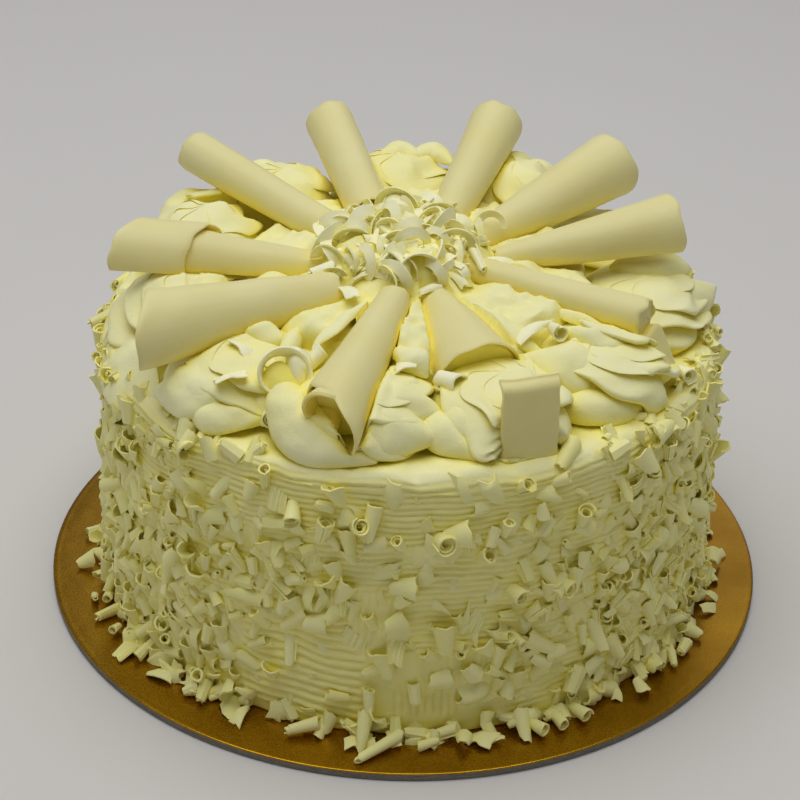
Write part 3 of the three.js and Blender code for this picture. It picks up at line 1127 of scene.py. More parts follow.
@dataclass(frozen=True)
class BrokenPiece:
    """Bent piece broken off a roll, standing in the cream.

    Attributes:
        name: Name of the CAD node.
        width: Width across the bend.
        height: Height.
        bend: Radius of the bend.
        thickness: Thickness of the sheet.
        place: Middle of its lower edge.
        turn: Turn about the upright.
        lean: Lean backwards.
        seed: Seed of its uneven edge.
    """

    name: str
    width: float
    height: float
    bend: float
    thickness: float
    place: Point
    turn: float
    lean: float
    seed: int = 10

    def matrix(self) -> Array:
        """Its turn from upright and facing the front."""
        return turn_about((0, 0, 1), self.turn) @ turn_about((1, 0, 0), self.lean)

    def press(self, points: Array) -> Array:
        """Moves cream from in front of the piece to behind it.

        Args:
            points: Points of the cream.

        Returns:
            The moved points.
        """
        local = (points - np.array(self.place)) @ self.matrix()
        behind = self.thickness + 0.3 + local[..., 0] ** 2 / (2 * self.bend)
        beside = 1 - ease(self.width / 2 + 0.5, self.width / 2 + 3.0, np.abs(local[..., 0]))
        within = (local[..., 2] > 0.3) & (local[..., 2] < self.height) & (local[..., 1] < behind)
        within &= local[..., 1] > -14
        moved = local.copy()
        moved[..., 1] += np.where(within, (behind - local[..., 1]) * beside, 0)
        return moved @ self.matrix().T + np.array(self.place)

    def build(self, finishes: Finishes) -> None:
        """Makes the piece.

        Args:
            finishes: The materials.
        """
        half = self.width / self.bend / 2
        angle = np.linspace(-half, half, 26)
        level = np.linspace(0, 1, 34)
        level, angle = np.meshgrid(level, angle, indexing="ij")
        edge = stacked(angle[0] * 12, self.height)
        top = Ripple(self.seed, 6.0).at(edge) * 0.5
        side = Ripple(self.seed + 5, 8.0).at(stacked(level[:, 0] * self.height, level[:, 0])) * 0.02
        angle = angle * (1 + side[:, None])
        middle_radius = self.bend - self.thickness / 2
        height = level * (self.height + top[None, :])
        over = ease(0.86, 1.0, level) * 3.2
        height = height - ease(0.9, 1.0, level) * 0.9 + 0.09 * middle_radius * np.sin(angle) * level
        back = self.bend - middle_radius * np.cos(angle) + over
        middle = stacked(middle_radius * np.sin(angle), back, height)
        form = sheet_form(middle[:, ::-1], np.full(angle.shape, self.thickness * 0.9), soft_rim=True)
        points = form.points @ self.matrix().T + np.array(self.place)
        flat = form.points
        # Painted shade: both faces take a little of the chocolate's warm inner-face yellow, the inner face
        # more
        values = {"inside": 0.14 + form.values["inside"] * 0.2, "along": flat[:, 2], "around": flat[:, 0]}
        sheet = Surface(points, form.faces, values)
        made = mesh_object(f"{self.name}_sheet", sheet, finishes.chocolate, CRISP)
        keep(made, self.name)


BROKEN = [
    BrokenPiece("roll_plate", 18, 27, 40, 1.4, (38, -91, 99.3), 12, -4),
    BrokenPiece("roll_flake", 10, 15, 12, 1.2, (85, -42, 105), 50, -30),
]


def pressed(points: Array) -> Array:
    """Presses every roll and broken piece into cream.

    Args:
        points: Points of the cream.

    Returns:
        The pressed points.
    """
    for piece in [*ROLLS, *BROKEN]:
        points = piece.press(points)
    return points


@dataclass
class Dice:
    """The repeatable draws that the solids were sized with."""

    state: int

    def draw(self) -> float:
        """Next number from 0 to 1."""
        self.state = (self.state * 1664525 + 1013904223) % 4294967296
        return self.state / 4294967296


@dataclass
class Rosettes:
    """Ring of piped rosettes with broad petals and crisp lips."""

    count: int = 11
    ring: float = 78.0
    middle: tuple[float, float] = (1.0, 2.0)
    first: float = -101.5
    radius: float = 21.8
    fullness: float = 1.1
    height: float = 25.0
    folds: int = 6
    twist: float = -135.0
    rows: int = 80
    fold_points: int = 24
    full: float = 14.0
    seed: int = 200
    solid_seed: int = 12

    def place(self, index: int) -> Array:
        """Finds the middle of a rosette's foot.

        Args:
            index: Number of the rosette from 0.

        Returns:
            The place.
        """
        azimuth = math.radians(self.first + index * 360 / self.count)
        away = self.ring * np.array([math.cos(azimuth), math.sin(azimuth)]) + np.array(self.middle)
        return np.array([*away, TOP_Z + 0.3])

    def section(self) -> Array:
        """Draws one petal's section, from lip to lip.

        Returns:
            Share of its angle and of the reach at each point.
        """
        shape = [(0, 1), (0.1, 1.04), (0.26, 1.045), (0.46, 0.985), (0.66, 0.885), (0.84, 0.79)]
        shape += [(0.96, 0.72), (1.02, 0.76), (1.005, 0.86), (0.985, 0.94), (1, 1)]
        return smooth_line(shape, self.fold_points + 1)[:-1]

    def form(self, index: int, dice: Dice) -> Surface:
        """Shapes one rosette.

        Args:
            index: Number of the rosette from 0.
            dice: Draws of the solids.

        Returns:
            The surface before it is pressed.
        """
        radius = self.radius * self.fullness * (0.94 + 0.06 * dice.draw())
        at_back = abs(index - 7) < 3
        height = self.height * (0.88 + 0.2 * dice.draw()) * (1.12 if at_back else 1.0)
        begin = dice.draw() * math.pi
        side = [(0.94, 0), (1, 0.1), (1, 0.25), (0.95, 0.42), (0.84, 0.6), (0.67, 0.76)]
        profile = smooth_line(side + [(0.42, 0.9), (0.1, 0.97)], self.rows)
        section = self.section()
        random = np.random.default_rng(self.seed + 100 + index)
        width = 1 + random.uniform(-0.22, 0.22, self.folds)
        width = width / width.sum()
        starts = np.concatenate([[0], np.cumsum(width)[:-1]])
        turn = ((starts[:, None] + width[:, None] * section[None, :, 0]) * 2 * math.pi).ravel()
        bold = np.repeat(random.uniform(0.75, 1.3, self.folds), self.fold_points)
        reach = 1 - (1 - np.tile(section[:, 1], self.folds)) * bold
        lip = np.clip((reach - 0.9) * 10, 0, 1)
        share = profile[:, 1][:, None]
        depth = 0.75 + 0.55 * np.sin(math.pi * np.clip(share * 1.05, 0, 1)) ** 0.8
        depth = depth * (1 - 0.8 * ease(0.5, 0.95, share))
        swirl = share**1.5 + 0.05 * np.sin(share * 7 + index)
        angle = turn[None, :] + math.radians(self.twist * random.uniform(1.05, 1.45)) * swirl + begin
        lie = stacked(share * 30, angle * 14, 5.0)
        wild = Ripple(self.seed + 200 + index, 10.0).at(lie)
        flare = lip[None, :] * (0.025 + 0.04 * wild) * (1 - share)
        radial = radius * profile[:, 0][:, None] * (1 - (1 - reach)[None, :] * depth + flare)
        droop = np.sin(math.pi * share) * (2.6 - 5.2 * np.clip((reach - 0.75)[None, :] * 4, 0, 1))
        rings = polar(radial, angle, share * height + 0.5 * droop)
        uneven = Ripple(self.seed + index, 17.0).at(rings)[..., None] * np.array([0.9, 0.9, 0.7])
        rings += uneven * ease(0, 0.2, share)[..., None]
        over = np.maximum(rings[..., 2] - self.full, 0)
        rings[..., 2] -= over * (0.1 if at_back else 0.55)
        middle = self.place(index)
        rings += middle
        rings[0, :, 2] = SEAT_Z
        surface = turned_form(rings, np.array([middle[0], middle[1], SEAT_Z]), rings[-1].mean(0) + 0.8 * UP)
        # Painted shade: the hollows between petals take the deep fold yellow
        hollow_shade = np.clip((0.93 - reach)[None, :] * depth * 3.4, 0, 1) * np.ones_like(share)
        surface.values["fold"] = np.concatenate([hollow_shade.ravel(), [0.0, 0.0]])
        return surface

    def build(self, finishes: Finishes) -> None:
        """Makes all rosettes.

        Args:
            finishes: The materials.
        """
        dice = Dice(self.solid_seed)
        for index in range(self.count):
            surface = self.form(index, dice)
            surface.points = pressed(surface.points)
            surface.points[:, 2] = np.maximum(surface.points[:, 2], SEAT_Z)
            node = f"rosette_{index + 1:02d}"
            keep(mesh_object(f"{node}_cream", surface, finishes.cream), node)


class CurlKind(Enum):
    """Kinds of small curl."""

    SCROLL = "scroll"
    GUTTER = "gutter"
    CHIP = "chip"
    PETAL = "petal"
    SHARD = "shard"
    RIBBED = "ribbed"


SCROLL, GUTTER, CHIP, PETAL, SHARD, RIBBED = CurlKind

# Rows and columns of faces of each kind, to be multiplied where a curl is finer
GRIDS = {SCROLL: (1, 14), GUTTER: (2, 8), CHIP: (3, 2), PETAL: (4, 3), SHARD: (4, 2), RIBBED: (2, 8)}


@dataclass(frozen=True)
class SmallCurl:
    """A small curl that lies along X with its outer face to +Z.

    Attributes:
        kind: Its kind.
        length: Length along X.
        width: Width, or the diameter of a scroll.
        curve: Turns of a scroll or gutter, or how far the ends of any other curl bend down.
        fine: Multiple of the faces.
        seed: Seed of its unevenness.
        thickness: Thickness of the sheet.
    """

    kind: CurlKind
    length: float
    width: float
    curve: float
    fine: int = 1
    seed: int = 0
    thickness: float = 0.6

    def grid(self) -> tuple[Array, Array]:
        """Shares along the length and across it, in a grid as fine as the kind needs.

        Returns:
            The two shares, each from -0.5 to 0.5, at every point of the grid.
        """
        rows, columns = GRIDS[self.kind]
        along = np.linspace(-0.5, 0.5, rows * self.fine + 1)
        across = np.linspace(-0.5, 0.5, columns * self.fine + 1)
        return np.meshgrid(along, across, indexing="ij")

    def bent(self) -> Array:
        """Shapes a flat curl: its outline, torn edge and bend.

        Returns:
            Its middle surface.
        """
        x, y = self.grid()
        wide = 1 - 0.25 * (x + 0.5) * (1 if self.seed % 2 else -0.6)
        if self.kind is PETAL:
            wide = 0.45 + 0.6 * np.cos((x - 0.12) * 2.3)
        elif self.kind is SHARD:
            wide = 0.06 + 0.94 * (0.5 - x) ** 0.8
        ragged = Ripple(self.seed, 0.6).at(stacked(x, y, 0.0)) * 0.06
        px = (x + ragged + 0.12 * y) * self.length
        py = (y + ragged) * wide * self.width
        pz = -self.curve * (2 * x) ** 2 - self.curve * 0.35 * (2 * y) ** 2 + 0.3 * self.curve * x * y * 4
        if self.kind is PETAL:
            pz = pz - self.width * 0.28 * (2 * y) ** 2
        if self.kind is RIBBED:
            pz = pz + 0.28 * np.cos(y * 4 * 2 * math.pi)
        return stacked(px, py, pz)

    def rolled(self) -> Array:
        """Shapes a curl rolled about X, a scroll inwards and a gutter open below.

        Returns:
            Its middle surface.
        """
        x, t = self.grid()
        t = t + 0.5
        if self.kind is SCROLL:
            radius = self.width / 2 * (0.42 + 0.58 * t) * (1 + 0.35 * x)
            angle = (t * self.curve + 0.1 * self.seed) * 2 * math.pi
            px = x * self.length * (1 - 0.12 * (1 - t)) + 0.2 * self.length * (t - 0.5)
        else:
            radius = self.width / 2 * (1 + 0.5 * x)
            angle = math.pi / 2 + (t - 0.5) * self.curve * 2 * math.pi
            px = x * self.length * (1 - 0.35 * np.abs(2 * t - 1) ** 2) + 0.1 * self.length * (t - 0.5)
        px = px + 0.035 * self.length * np.sin(17 * t + self.seed) * np.sign(x)
        return stacked(px, -radius * np.cos(angle), radius * np.sin(angle))

    def form(self) -> Surface:
        """The curl with its thickness."""
        middle = self.rolled() if self.kind in (SCROLL, GUTTER) else self.bent()
        return sheet_form(middle, np.full(middle.shape[:2], self.thickness), soft_rim=self.fine > 2)


@dataclass(frozen=True)
class LaidCurl:
    """One curl laid in a given place.

    Attributes:
        shape: The curl.
        place: Its middle.
        heading: Direction of its length in the plan, in degrees.
        pitch: Rise of its length, in degrees.
        roll: Turn about its length, in degrees.
        tone: Warmth of its colour, 0 to 1.
    """

    shape: SmallCurl
    place: Point
    heading: float
    pitch: float = 0.0
    roll: float = 0.0
    tone: float = 0.3

    def form(self) -> Surface:
        """Shapes the curl and puts it in its place.

        Returns:
            The surface.
        """
        matrix = turn_about((0, 0, 1), self.heading) @ turn_about((0, 1, 0), -self.pitch)
        surface = self.shape.form().moved(matrix @ turn_about((1, 0, 0), self.roll), np.array(self.place))
        surface.values["tone"] = np.full(len(surface.points), self.tone)
        return surface


def laid_curls(rows: Iterable[tuple]) -> list[LaidCurl]:
    """Makes curls from rows that hold each curl's shape and then how it lies."""
    return [LaidCurl(SmallCurl(*shape), *lie) for shape, *lie in rows]


@dataclass(frozen=True)
class CreamLick:
    """Smooth petal of cream with one crisp lip, left by the piping tip.

    Attributes:
        spine: Points along its middle.
        width: Greatest width.
        depth: Greatest thickness.
        facing: Direction that it bulges to.
        fold: Depth of the painted fold shade, 0 for pale and 1 for the deep yellow of a shaded fold.
        round: Number of points round the section.
        rows: Number of sections.
    """

    spine: list[Point]
    width: float
    depth: float
    facing: Point
    fold: float = 0.0
    round: int = 26
    rows: int = 34

    def form(self) -> Surface:
        """Sweeps the petal's section along its spine.

        Returns:
            The surface.
        """
        section = [(0.6, 0), (0.54, 0.2), (0.36, 0.45), (0.08, 0.57), (-0.2, 0.5), (-0.44, 0.2)]
        section += [(-0.55, -0.3), (-0.3, -0.6), (0, -0.5), (0.3, -0.18), (0.5, -0.09), (0.6, 0)]
        outline = smooth_line(section, self.round + 1)[-2::-1]
        line = smooth_line(self.spine, self.rows)
        along = unit(np.gradient(line, axis=0))
        right = unit(np.cross(along, unit(np.array(self.facing, float))))
        up = np.cross(right, along)
        share = np.linspace(0.012, 0.988, len(line))
        swell = np.sin(math.pi * share) ** 0.75
        wide = (self.width * swell * (1 + 0.12 * np.sin(9 * share + self.width)))[:, None]
        thick = (self.depth * swell)[:, None]
        across, rise = outline[:, 0] * wide, outline[:, 1] * thick
        rings = line[:, None] + right[:, None] * across[..., None] + up[:, None] * rise[..., None]
        rings += Ripple(int(self.width * 10), 9.0).at(rings)[..., None] * 0.35 * up[:, None]
        return turned_form(rings, rings[0].mean(0), rings[-1].mean(0))


# Petals and lumps that the photograph shows: spine, width, thickness, facing, and depth of painted fold shade
# where it isn't 0
SHOWN_PETALS = [
    ([(-81, -65, 104.5), (-64, -69, 109), (-44, -68, 105)], 18, 8, (-0.25, -0.6, 0.8)),
    ([(-70, -73, 103), (-58, -77, 104), (-42, -75, 103)], 11, 6, (-0.25, -0.6, 0.8)),
    ([(-69, -58, 110), (-59, -56, 114), (-48, -58, 112)], 13, 7, (-0.3, -0.5, 0.8)),
    ([(-39, -60, 114), (-38, -78, 110), (-28, -92, 105), (-9, -97.5, 101)], 15, 9, (-0.35, -0.65, 0.7)),
    ([(-24, -82, 108), (-8, -89, 108), (10.5, -88, 104.5)], 16, 9, (0.1, -0.7, 0.7)),
    ([(-14, -75, 113), (-2.5, -80, 112.5), (11, -81, 108.5)], 12, 7, (0.1, -0.6, 0.8)),
    ([(-16, 78, 118), (-6, 87, 121.5), (4, 82, 121)], 9, 6, (-0.2, -0.4, 0.9)),
    ([(-3, 80, 120), (7, 88, 121), (16, 80, 119)], 9, 6, (0.2, -0.4, 0.9)),
    ([(-64, 64, 117), (-56, 72, 119.5), (-46, 68, 119)], 9, 6, (-0.3, -0.4, 0.85)),
    ([(-94, 28, 103), (-86, 46, 107), (-74, 60, 107)], 17, 10, (-0.3, 0.1, 0.95)),
    ([(-92, 46, 108), (-82, 56, 114), (-70, 58, 116)], 11, 6, (-0.4, -0.4, 0.8)),
    ([(-88, 36, 108), (-80, 44, 112), (-70, 46, 113)], 10, 6, (-0.3, -0.5, 0.8)),
    ([(27, 75, 112), (36, 83, 119), (47, 93, 115)], 12, 7, (0.2, -0.4, 0.9)),
    ([(38, 76, 113), (47, 82, 117), (56, 84, 113)], 10, 6, (0.3, -0.4, 0.9)),
    ([(82, 34, 105), (88, 24, 110), (96, 14, 106)], 16, 10, (0.4, 0, 0.9)),
    ([(5.5, -73, 110), (9.5, -87, 106), (24, -95, 101)], 9.5, 5, (-0.3, -0.75, 0.6)),
    ([(14.5, -70, 113), (16.5, -85, 108.5), (29, -92.4, 102)], 9.5, 5, (-0.15, -0.75, 0.65)),
    ([(36, -52, 113), (52, -56, 112.5), (66, -50, 109)], 16, 8, (0.1, -0.6, 0.8)),
    ([(48, -42, 117), (62, -46, 117), (80, -47, 109)], 9, 7, (0.2, -0.3, 0.95)),
    ([(44, -62, 104), (60, -66, 104), (78, -56, 102)], 13, 7, (0.2, -0.6, 0.75)),
    ([(74, 3, 112), (91, -2.5, 109.5), (106, 10, 108)], 14, 8, (0.5, -0.5, 0.7)),
    ([(68, 7, 116), (84, 8, 117), (97, 14, 112.5)], 14, 8, (0.4, -0.35, 0.85)),
    ([(-84, -1, 110), (-75, 2, 113), (-65, -2, 111)], 7, 4, (-0.2, -0.5, 0.85)),
    ([(-95, -7, 107), (-87, -5.5, 109.5), (-71, -8, 110)], 8, 4.5, (-0.4, -0.5, 0.75)),
    ([(-95, -8, 103), (-94.5, -36, 99.5), (-80, -64, 97.5)], 20, 4.5, (-0.7, -0.3, 0.65)),
    ([(9, -25, 121.5), (27.5, -41, 119), (44, -51, 113)], 8.5, 4.5, (0.2, -0.45, 0.9)),
    ([(-31, -60, 119), (-22.4, -48, 121.5), (-14, -36, 123.5)], 5.5, 3.5, (-0.4, -0.4, 0.8)),
    ([(-6, -57, 117), (1, -63, 118), (6, -68, 114)], 9, 5.5, (0, -0.5, 0.9)),
    ([(-8, -69, 112), (-1.4, -73, 113), (6, -74, 111)], 8, 5, (0, -0.6, 0.8)),
    ([(18, -54, 107), (28.6, -54, 109), (38, -53, 107)], 10, 6, (0.1, -0.7, 0.7)),
    ([(-55, -64, 112), (-46, -70.8, 108), (-45, -80, 102)], 9, 4.5, (-0.4, -0.7, 0.6)),
    ([(-58, -48, 116), (-48, -50, 119), (-38, -54, 116)], 7.5, 4.5, (-0.1, -0.5, 0.85)),
    ([(-36, -46, 119), (-38, -58, 117), (-42, -66, 113)], 6.5, 4.5, (0.1, -0.5, 0.85)),
    ([(46, -28, 118), (58, -34, 117), (70, -42, 113)], 6.5, 4, (0.2, -0.4, 0.9)),
    ([(-47, -72, 113), (-40.5, -72, 114.5), (-34, -72, 113)], 10, 4, (-0.1, -0.75, 0.65), 0.85),
    ([(-84, -4, 113), (-75, -3.5, 114.5), (-66, -5, 113)], 4.5, 3, (-0.1, -0.6, 0.8), 0.75),
    ([(-30, -90, 112), (-24, -91, 110), (-18, -94, 106)], 7, 5, (0.1, -0.7, 0.7), 0.55),
]


@dataclass
class CreamPetals:
    """Petals, strips and lumps of cream between the rosettes and the rolls."""

    rosettes: Rosettes
    seed: int = 505

    def shells(self) -> list[tuple[str, LaidCurl]]:
        """Lists the rolled petals that stand open.

        Returns:
            The node that each lies on, and its curl.
        """
        rows = [
            ((GUTTER, 26, 9.5, 0.6, 4, 4, 1.7), (70, -56, 109.6), -4, -12, -68),
            ((GUTTER, 24, 8, 0.5, 4, 6, 1.4), (66, -46.5, 116), -14, -14, -60),
            ((GUTTER, 17, 7, 0.6, 4, 9, 1.3), (-72, 50, 117), -4, 8, -80),
        ]
        return list(zip(("rosette_03", "rosette_03", "rosette_09"), laid_curls(rows)))

    def drawn(self) -> list[CreamLick]:
        """Draws petals of the same kind for the rosettes at the back.

        Returns:
            The petals.
        """
        random = np.random.default_rng(self.seed)
        licks = []
        for index in range(self.rosettes.count):
            foot = self.rosettes.place(index)
            outward = unit(foot[:2])
            if foot[1] < 20:
                continue
            aside = np.array([-outward[1], outward[0]])
            for _ in range(3):
                start = foot[:2] + outward * random.uniform(4, 15) + aside * random.uniform(-14, -4)
                end = start + aside * random.uniform(16, 23) + outward * random.uniform(-4, 4)
                middle = (start + end) / 2 + outward * random.uniform(1, 4)
                level = TOP_Z + random.uniform(5, 15)
                spine = [(*start, level - 2), (*middle, level + 1), (*end, level - 3)]
                facing = (*(outward * 0.7), 0.7)
                licks.append(CreamLick(spine, random.uniform(8, 11.5), random.uniform(4, 6), facing))
        return licks

    def node_of(self, lick: CreamLick) -> str:
        """Finds what a petal lies on: the nearest rosette, or the bed near the middle.

        Args:
            lick: The petal.

        Returns:
            Name of the CAD node.
        """
        middle = np.array(lick.spine[1][:2])
        if np.hypot(*middle) < BED_RADIUS:
            return "cream_bed"
        near = [np.hypot(*(self.rosettes.place(index)[:2] - middle)) for index in range(self.rosettes.count)]
        return f"rosette_{int(np.argmin(near)) + 1:02d}"

    def build(self, finishes: Finishes) -> None:
        """Makes the petals, one piece for each node that they lie on.

        Args:
            finishes: The materials.
        """
        groups: dict[str, list[Surface]] = {}
        for lick in [CreamLick(*row) for row in SHOWN_PETALS] + self.drawn():
            surface = lick.form()
            surface.points = pressed(surface.points)
            # Painted shade: each petal's fold depth
            surface.values["fold"] = np.full(len(surface.points), lick.fold)
            groups.setdefault(self.node_of(lick), []).append(surface)
        for node, shell in self.shells():
            surface = shell.form()
            # Painted shade: the inner faces of the open shells take the deep fold yellow
            surface.values = {"fold": surface.values["inside"] * 0.75}
            groups.setdefault(node, []).append(surface)
        # Cream in the mouths of rolls g and h, deep yellow as painted shade and glow of the hollow
        mouths = {"g": ("rosette_02", 0.96), "h": ("rosette_01", 0.93)}
        for roll in ROLLS:
            if roll.letter not in mouths:
                continue
            node, end = mouths[roll.letter]
            filling = roll.filling(0.45, end, 0.87, 0.85)
            filling.values = {"fold": filling.values["fold"]}
            groups.setdefault(node, []).append(filling)
        for node, surfaces in groups.items():
            keep(mesh_object(f"{node}_petals", merged(surfaces), finishes.cream), node)


@dataclass
class CreamBed:
    """Bed of cream in the middle of the top, with the rolls sunk into it."""

    columns: int = 320
    rows: int = 84
    spread: float = 8.5
    mound: Point = (-4.0, 2.5, 9.6)
    seed: int = 70

    def build(self, finishes: Finishes) -> None:
        """Makes the bed.

        Args:
            finishes: The materials.
        """
        profile = [(1, 0), (1, 0.3), (0.99, 0.62), (0.95, 0.85), (0.86, 0.98), (0.7, 1.04)]
        profile += [(0.4, 1.04), (0.02, 1.04)]
        reach, share = smooth_line(profile, self.rows).T[..., None]
        angle = np.linspace(0, 2 * math.pi, self.columns, endpoint=False)
        rings = polar(reach * (BED_RADIUS + self.spread), angle, TOP_Z + BED_HEIGHT * share)
        rings[..., 2] += (Ripple(self.seed, 22.0).at(rings[..., :2]) * 1.4 + 1.2) * ease(0.3, 0.9, share)
        crest = 1 - np.abs(Ripple(self.seed + 1, 11.0).at(rings[..., :2]))
        rings[..., 2] += crest * 1.1 * ease(0.3, 0.9, share)
        out = Ripple(self.seed + 2, 18.0).at(rings[..., :2]) * 1.6
        rings[..., :2] += unit(rings[..., :2]) * (out * (1 - ease(0.8, 1.0, share)))[..., None]
        away = np.hypot(rings[..., 0] - self.mound[0], rings[..., 1] - self.mound[1])
        rings[..., 2] += self.mound[2] * (1 - ease(14.0, 33.0, away))
        for roll in ROLLS:
            rings = roll.press(rings)
        rings[0, :, 2] = SEAT_Z
        surface = turned_form(rings, UP * SEAT_Z, rings[-1].mean(0))
        surface.values["fold"] = np.zeros(len(surface.points))
        keep(mesh_object("cream_bed_top", surface, finishes.cream), "cream_bed")


@dataclass(frozen=True)
class WallCurl:
    """One curl pressed on the wall in a given place.

    Attributes:
        shape: The curl.
        azimuth: Where it sits, in degrees.
        height: Its height above the floor.
        spin: Direction of its length on the wall, 0 for level and 90 for upright.
        tilt: How far its end stands out, in degrees, 90 for end-on.
        stand: Distance of its middle from the wall.
        tone: Warmth of its colour, 0 to 1.
    """

    shape: SmallCurl
    azimuth: float
    height: float
    spin: float
    tilt: float = 0.0
    stand: float = 1.0
    tone: float = 0.3

    def form(self) -> Surface:
        """Shapes the curl and puts it in its place.

        Returns:
            The surface.
        """
        turn, spin, tilt = (math.radians(angle) for angle in (self.azimuth, self.spin, self.tilt))
        out = np.array([math.cos(turn), math.sin(turn), 0.0])
        level = np.array([-math.sin(turn), math.cos(turn), 0.0])
        lie = level * math.cos(spin) + UP * math.sin(spin)
        along = lie * math.cos(tilt) + out * math.sin(tilt)
        up = out * math.cos(tilt) - lie * math.sin(tilt)
        matrix = np.stack([along, np.cross(up, along), up], -1)
        reach = float(CreamCoat().wall_radius(self.height)) + self.stand
        surface = self.shape.form().moved(matrix, out * reach + UP * self.height)
        surface.values["tone"] = np.full(len(surface.points), self.tone)
        return surface


# Curls on the wall that the photograph shows: shape, azimuth, height, spin, tilt and stand
FRONT_CURLS = [
    ((SCROLL, 8, 6, 2.1, 3, 2), -83.9, 78, 30, 68, 1.5),
    ((GUTTER, 11, 7, 0.6, 3, 3), -81.2, 79.5, 20, 20, 0.8),
    ((CHIP, 9, 5, 1.2, 3, 4), -85.6, 73, -50, 15, 0.8),
    ((SCROLL, 8, 4.8, 2.2, 3, 5), -70.8, 55.5, 10, 74, 1.2),
    ((PETAL, 8, 6, 1.4, 3, 6), -73.4, 55, 200, 12, 0.6),
    ((SCROLL, 10, 5, 1.9, 3, 7), -97.8, 82.5, 60, 50, 1.8),
    ((SCROLL, 11, 4.6, 1.8, 3, 8), -95.6, 84, 78, -20, 2),
    ((PETAL, 9, 7, 2, 3, 9), -100.6, 82, 20, 10, 1),
    ((SCROLL, 7, 5.2, 2, 3, 10), -109.2, 84, -60, 60, 1.4),
    ((PETAL, 10, 8, 1.8, 3, 11), -92.2, 92, 80, 8, 0.6),
    ((PETAL, 11, 8, 1.8, 3, 12), -75, 92, 110, 10, 0.6),
    ((CHIP, 12.5, 9, 1, 3, 13), -90.8, 41.5, 84, 0, 0.7),
    ((PETAL, 9, 7, 2.2, 3, 14), -87.3, 62, 30, 22, 1),
    ((GUTTER, 9, 6, 0.55, 3, 15), -89.8, 60.5, 5, 15, 1),
    ((CHIP, 10, 4.5, 1.6, 3, 16), -93.2, 65.5, 18, 10, 1),
    ((SHARD, 13, 3.2, 1.4, 3, 17), -79.1, 47.5, 82, 10, 0.8),
    ((SHARD, 9, 5, 1.2, 3, 18), -84.5, 53.5, -40, 20, 0.8),
    ((PETAL, 13, 10, 3.4, 3, 19), -75.7, 18.5, 2, -30, 2.2),
    ((SHARD, 8, 6, 1.4, 3, 20), -65.5, 89.5, -30, 28, 1.4),
    ((SCROLL, 7, 5, 2, 3, 21), -61.6, 54, 0, 70, 1.2),
    ((GUTTER, 8, 5, 0.6, 3, 22), -64, 54, 88, 10, 1),
    ((SCROLL, 9, 4.6, 1.8, 3, 23), -58.5, 78, 100, 30, 1.6),
    ((GUTTER, 10, 5, 0.55, 3, 24), -100, 58, 65, 10, 0.9),
    ((RIBBED, 10, 8, 0.8, 2, 25), -106, 66, 85, 6, 0.6),
    ((CHIP, 9, 5, 1.4, 3, 26), -101.6, 52, -20, 18, 0.9),
    ((RIBBED, 9, 10, 0.8, 2, 27), -98.6, 37, 70, 5, 0.5),
    ((PETAL, 8, 6, 1.6, 3, 28), -72.5, 38, 120, 20, 0.9),
    ((CHIP, 9, 5, 1.6, 3, 29), -67.3, 29, 40, 20, 1),
]

# Curls lying about the top that the photograph shows: shape, place, heading, pitch, roll and tone
LOOSE_CURLS = [
    ((SCROLL, 5.5, 19, 1.2, 4, 6, 1.1), (-40.5, -70.5, 115.5), -72, 24, 10),
    ((PETAL, 12, 7, 2.6, 4, 3), (-35.5, -71, 118), 80, 62, 0),
    ((CHIP, 10, 8, 0.8, 3, 4), (-55.6, -71, 115.5), 20, 8, -20),
    ((SHARD, 10, 6, 1.5, 3, 5), (-52.5, -60, 119.5), 150, 20, 10),
    ((SCROLL, 6, 6, 2.1, 4, 6), (-43, -78, 104.5), -80, 10),
    ((SCROLL, 6, 4.6, 2.1, 4, 7), (90, -42, 103), -60, 8),
    ((SHARD, 14, 6, 1.6, 3, 8), (40, -45, 120.5), 35, 10, 10),
    ((SCROLL, 7, 5.4, 1.3, 4, 9), (47.5, -45, 119.5), -70, 12),
    ((PETAL, 9, 6, 1.6, 3, 10), (55, -45.5, 118), 20, 5),
    ((CHIP, 6.5, 5.5, 0.8, 3, 11), (-1.2, -67, 118.6), 10, 14),
    ((GUTTER, 9, 12, 0.7, 4, 12, 0.9), (2, -19, 126), -75, 10, -30),
    ((CHIP, 11, 5.5, 1.2, 3, 13), (-20, -30, 125), -75, 10),
    ((SCROLL, 7, 3.6, 1.6, 3, 14), (22, 6, 125), 30, 5),
    ((CHIP, 8, 4, 1.4, 3, 15), (31, -5, 124.5), 160, 12),
    ((SCROLL, 9, 7.5, 1.3, 4, 16, 0.9), (12.5, -71, 114.5), -40, 6, 0, 0.1),
    ((SHARD, 8, 4, 1.2, 3, 17), (26, -58, 112), 10, 20),
    ((SCROLL, 8, 5, 1.8, 3, 18), (-30, -64, 117), 40, 35),
]

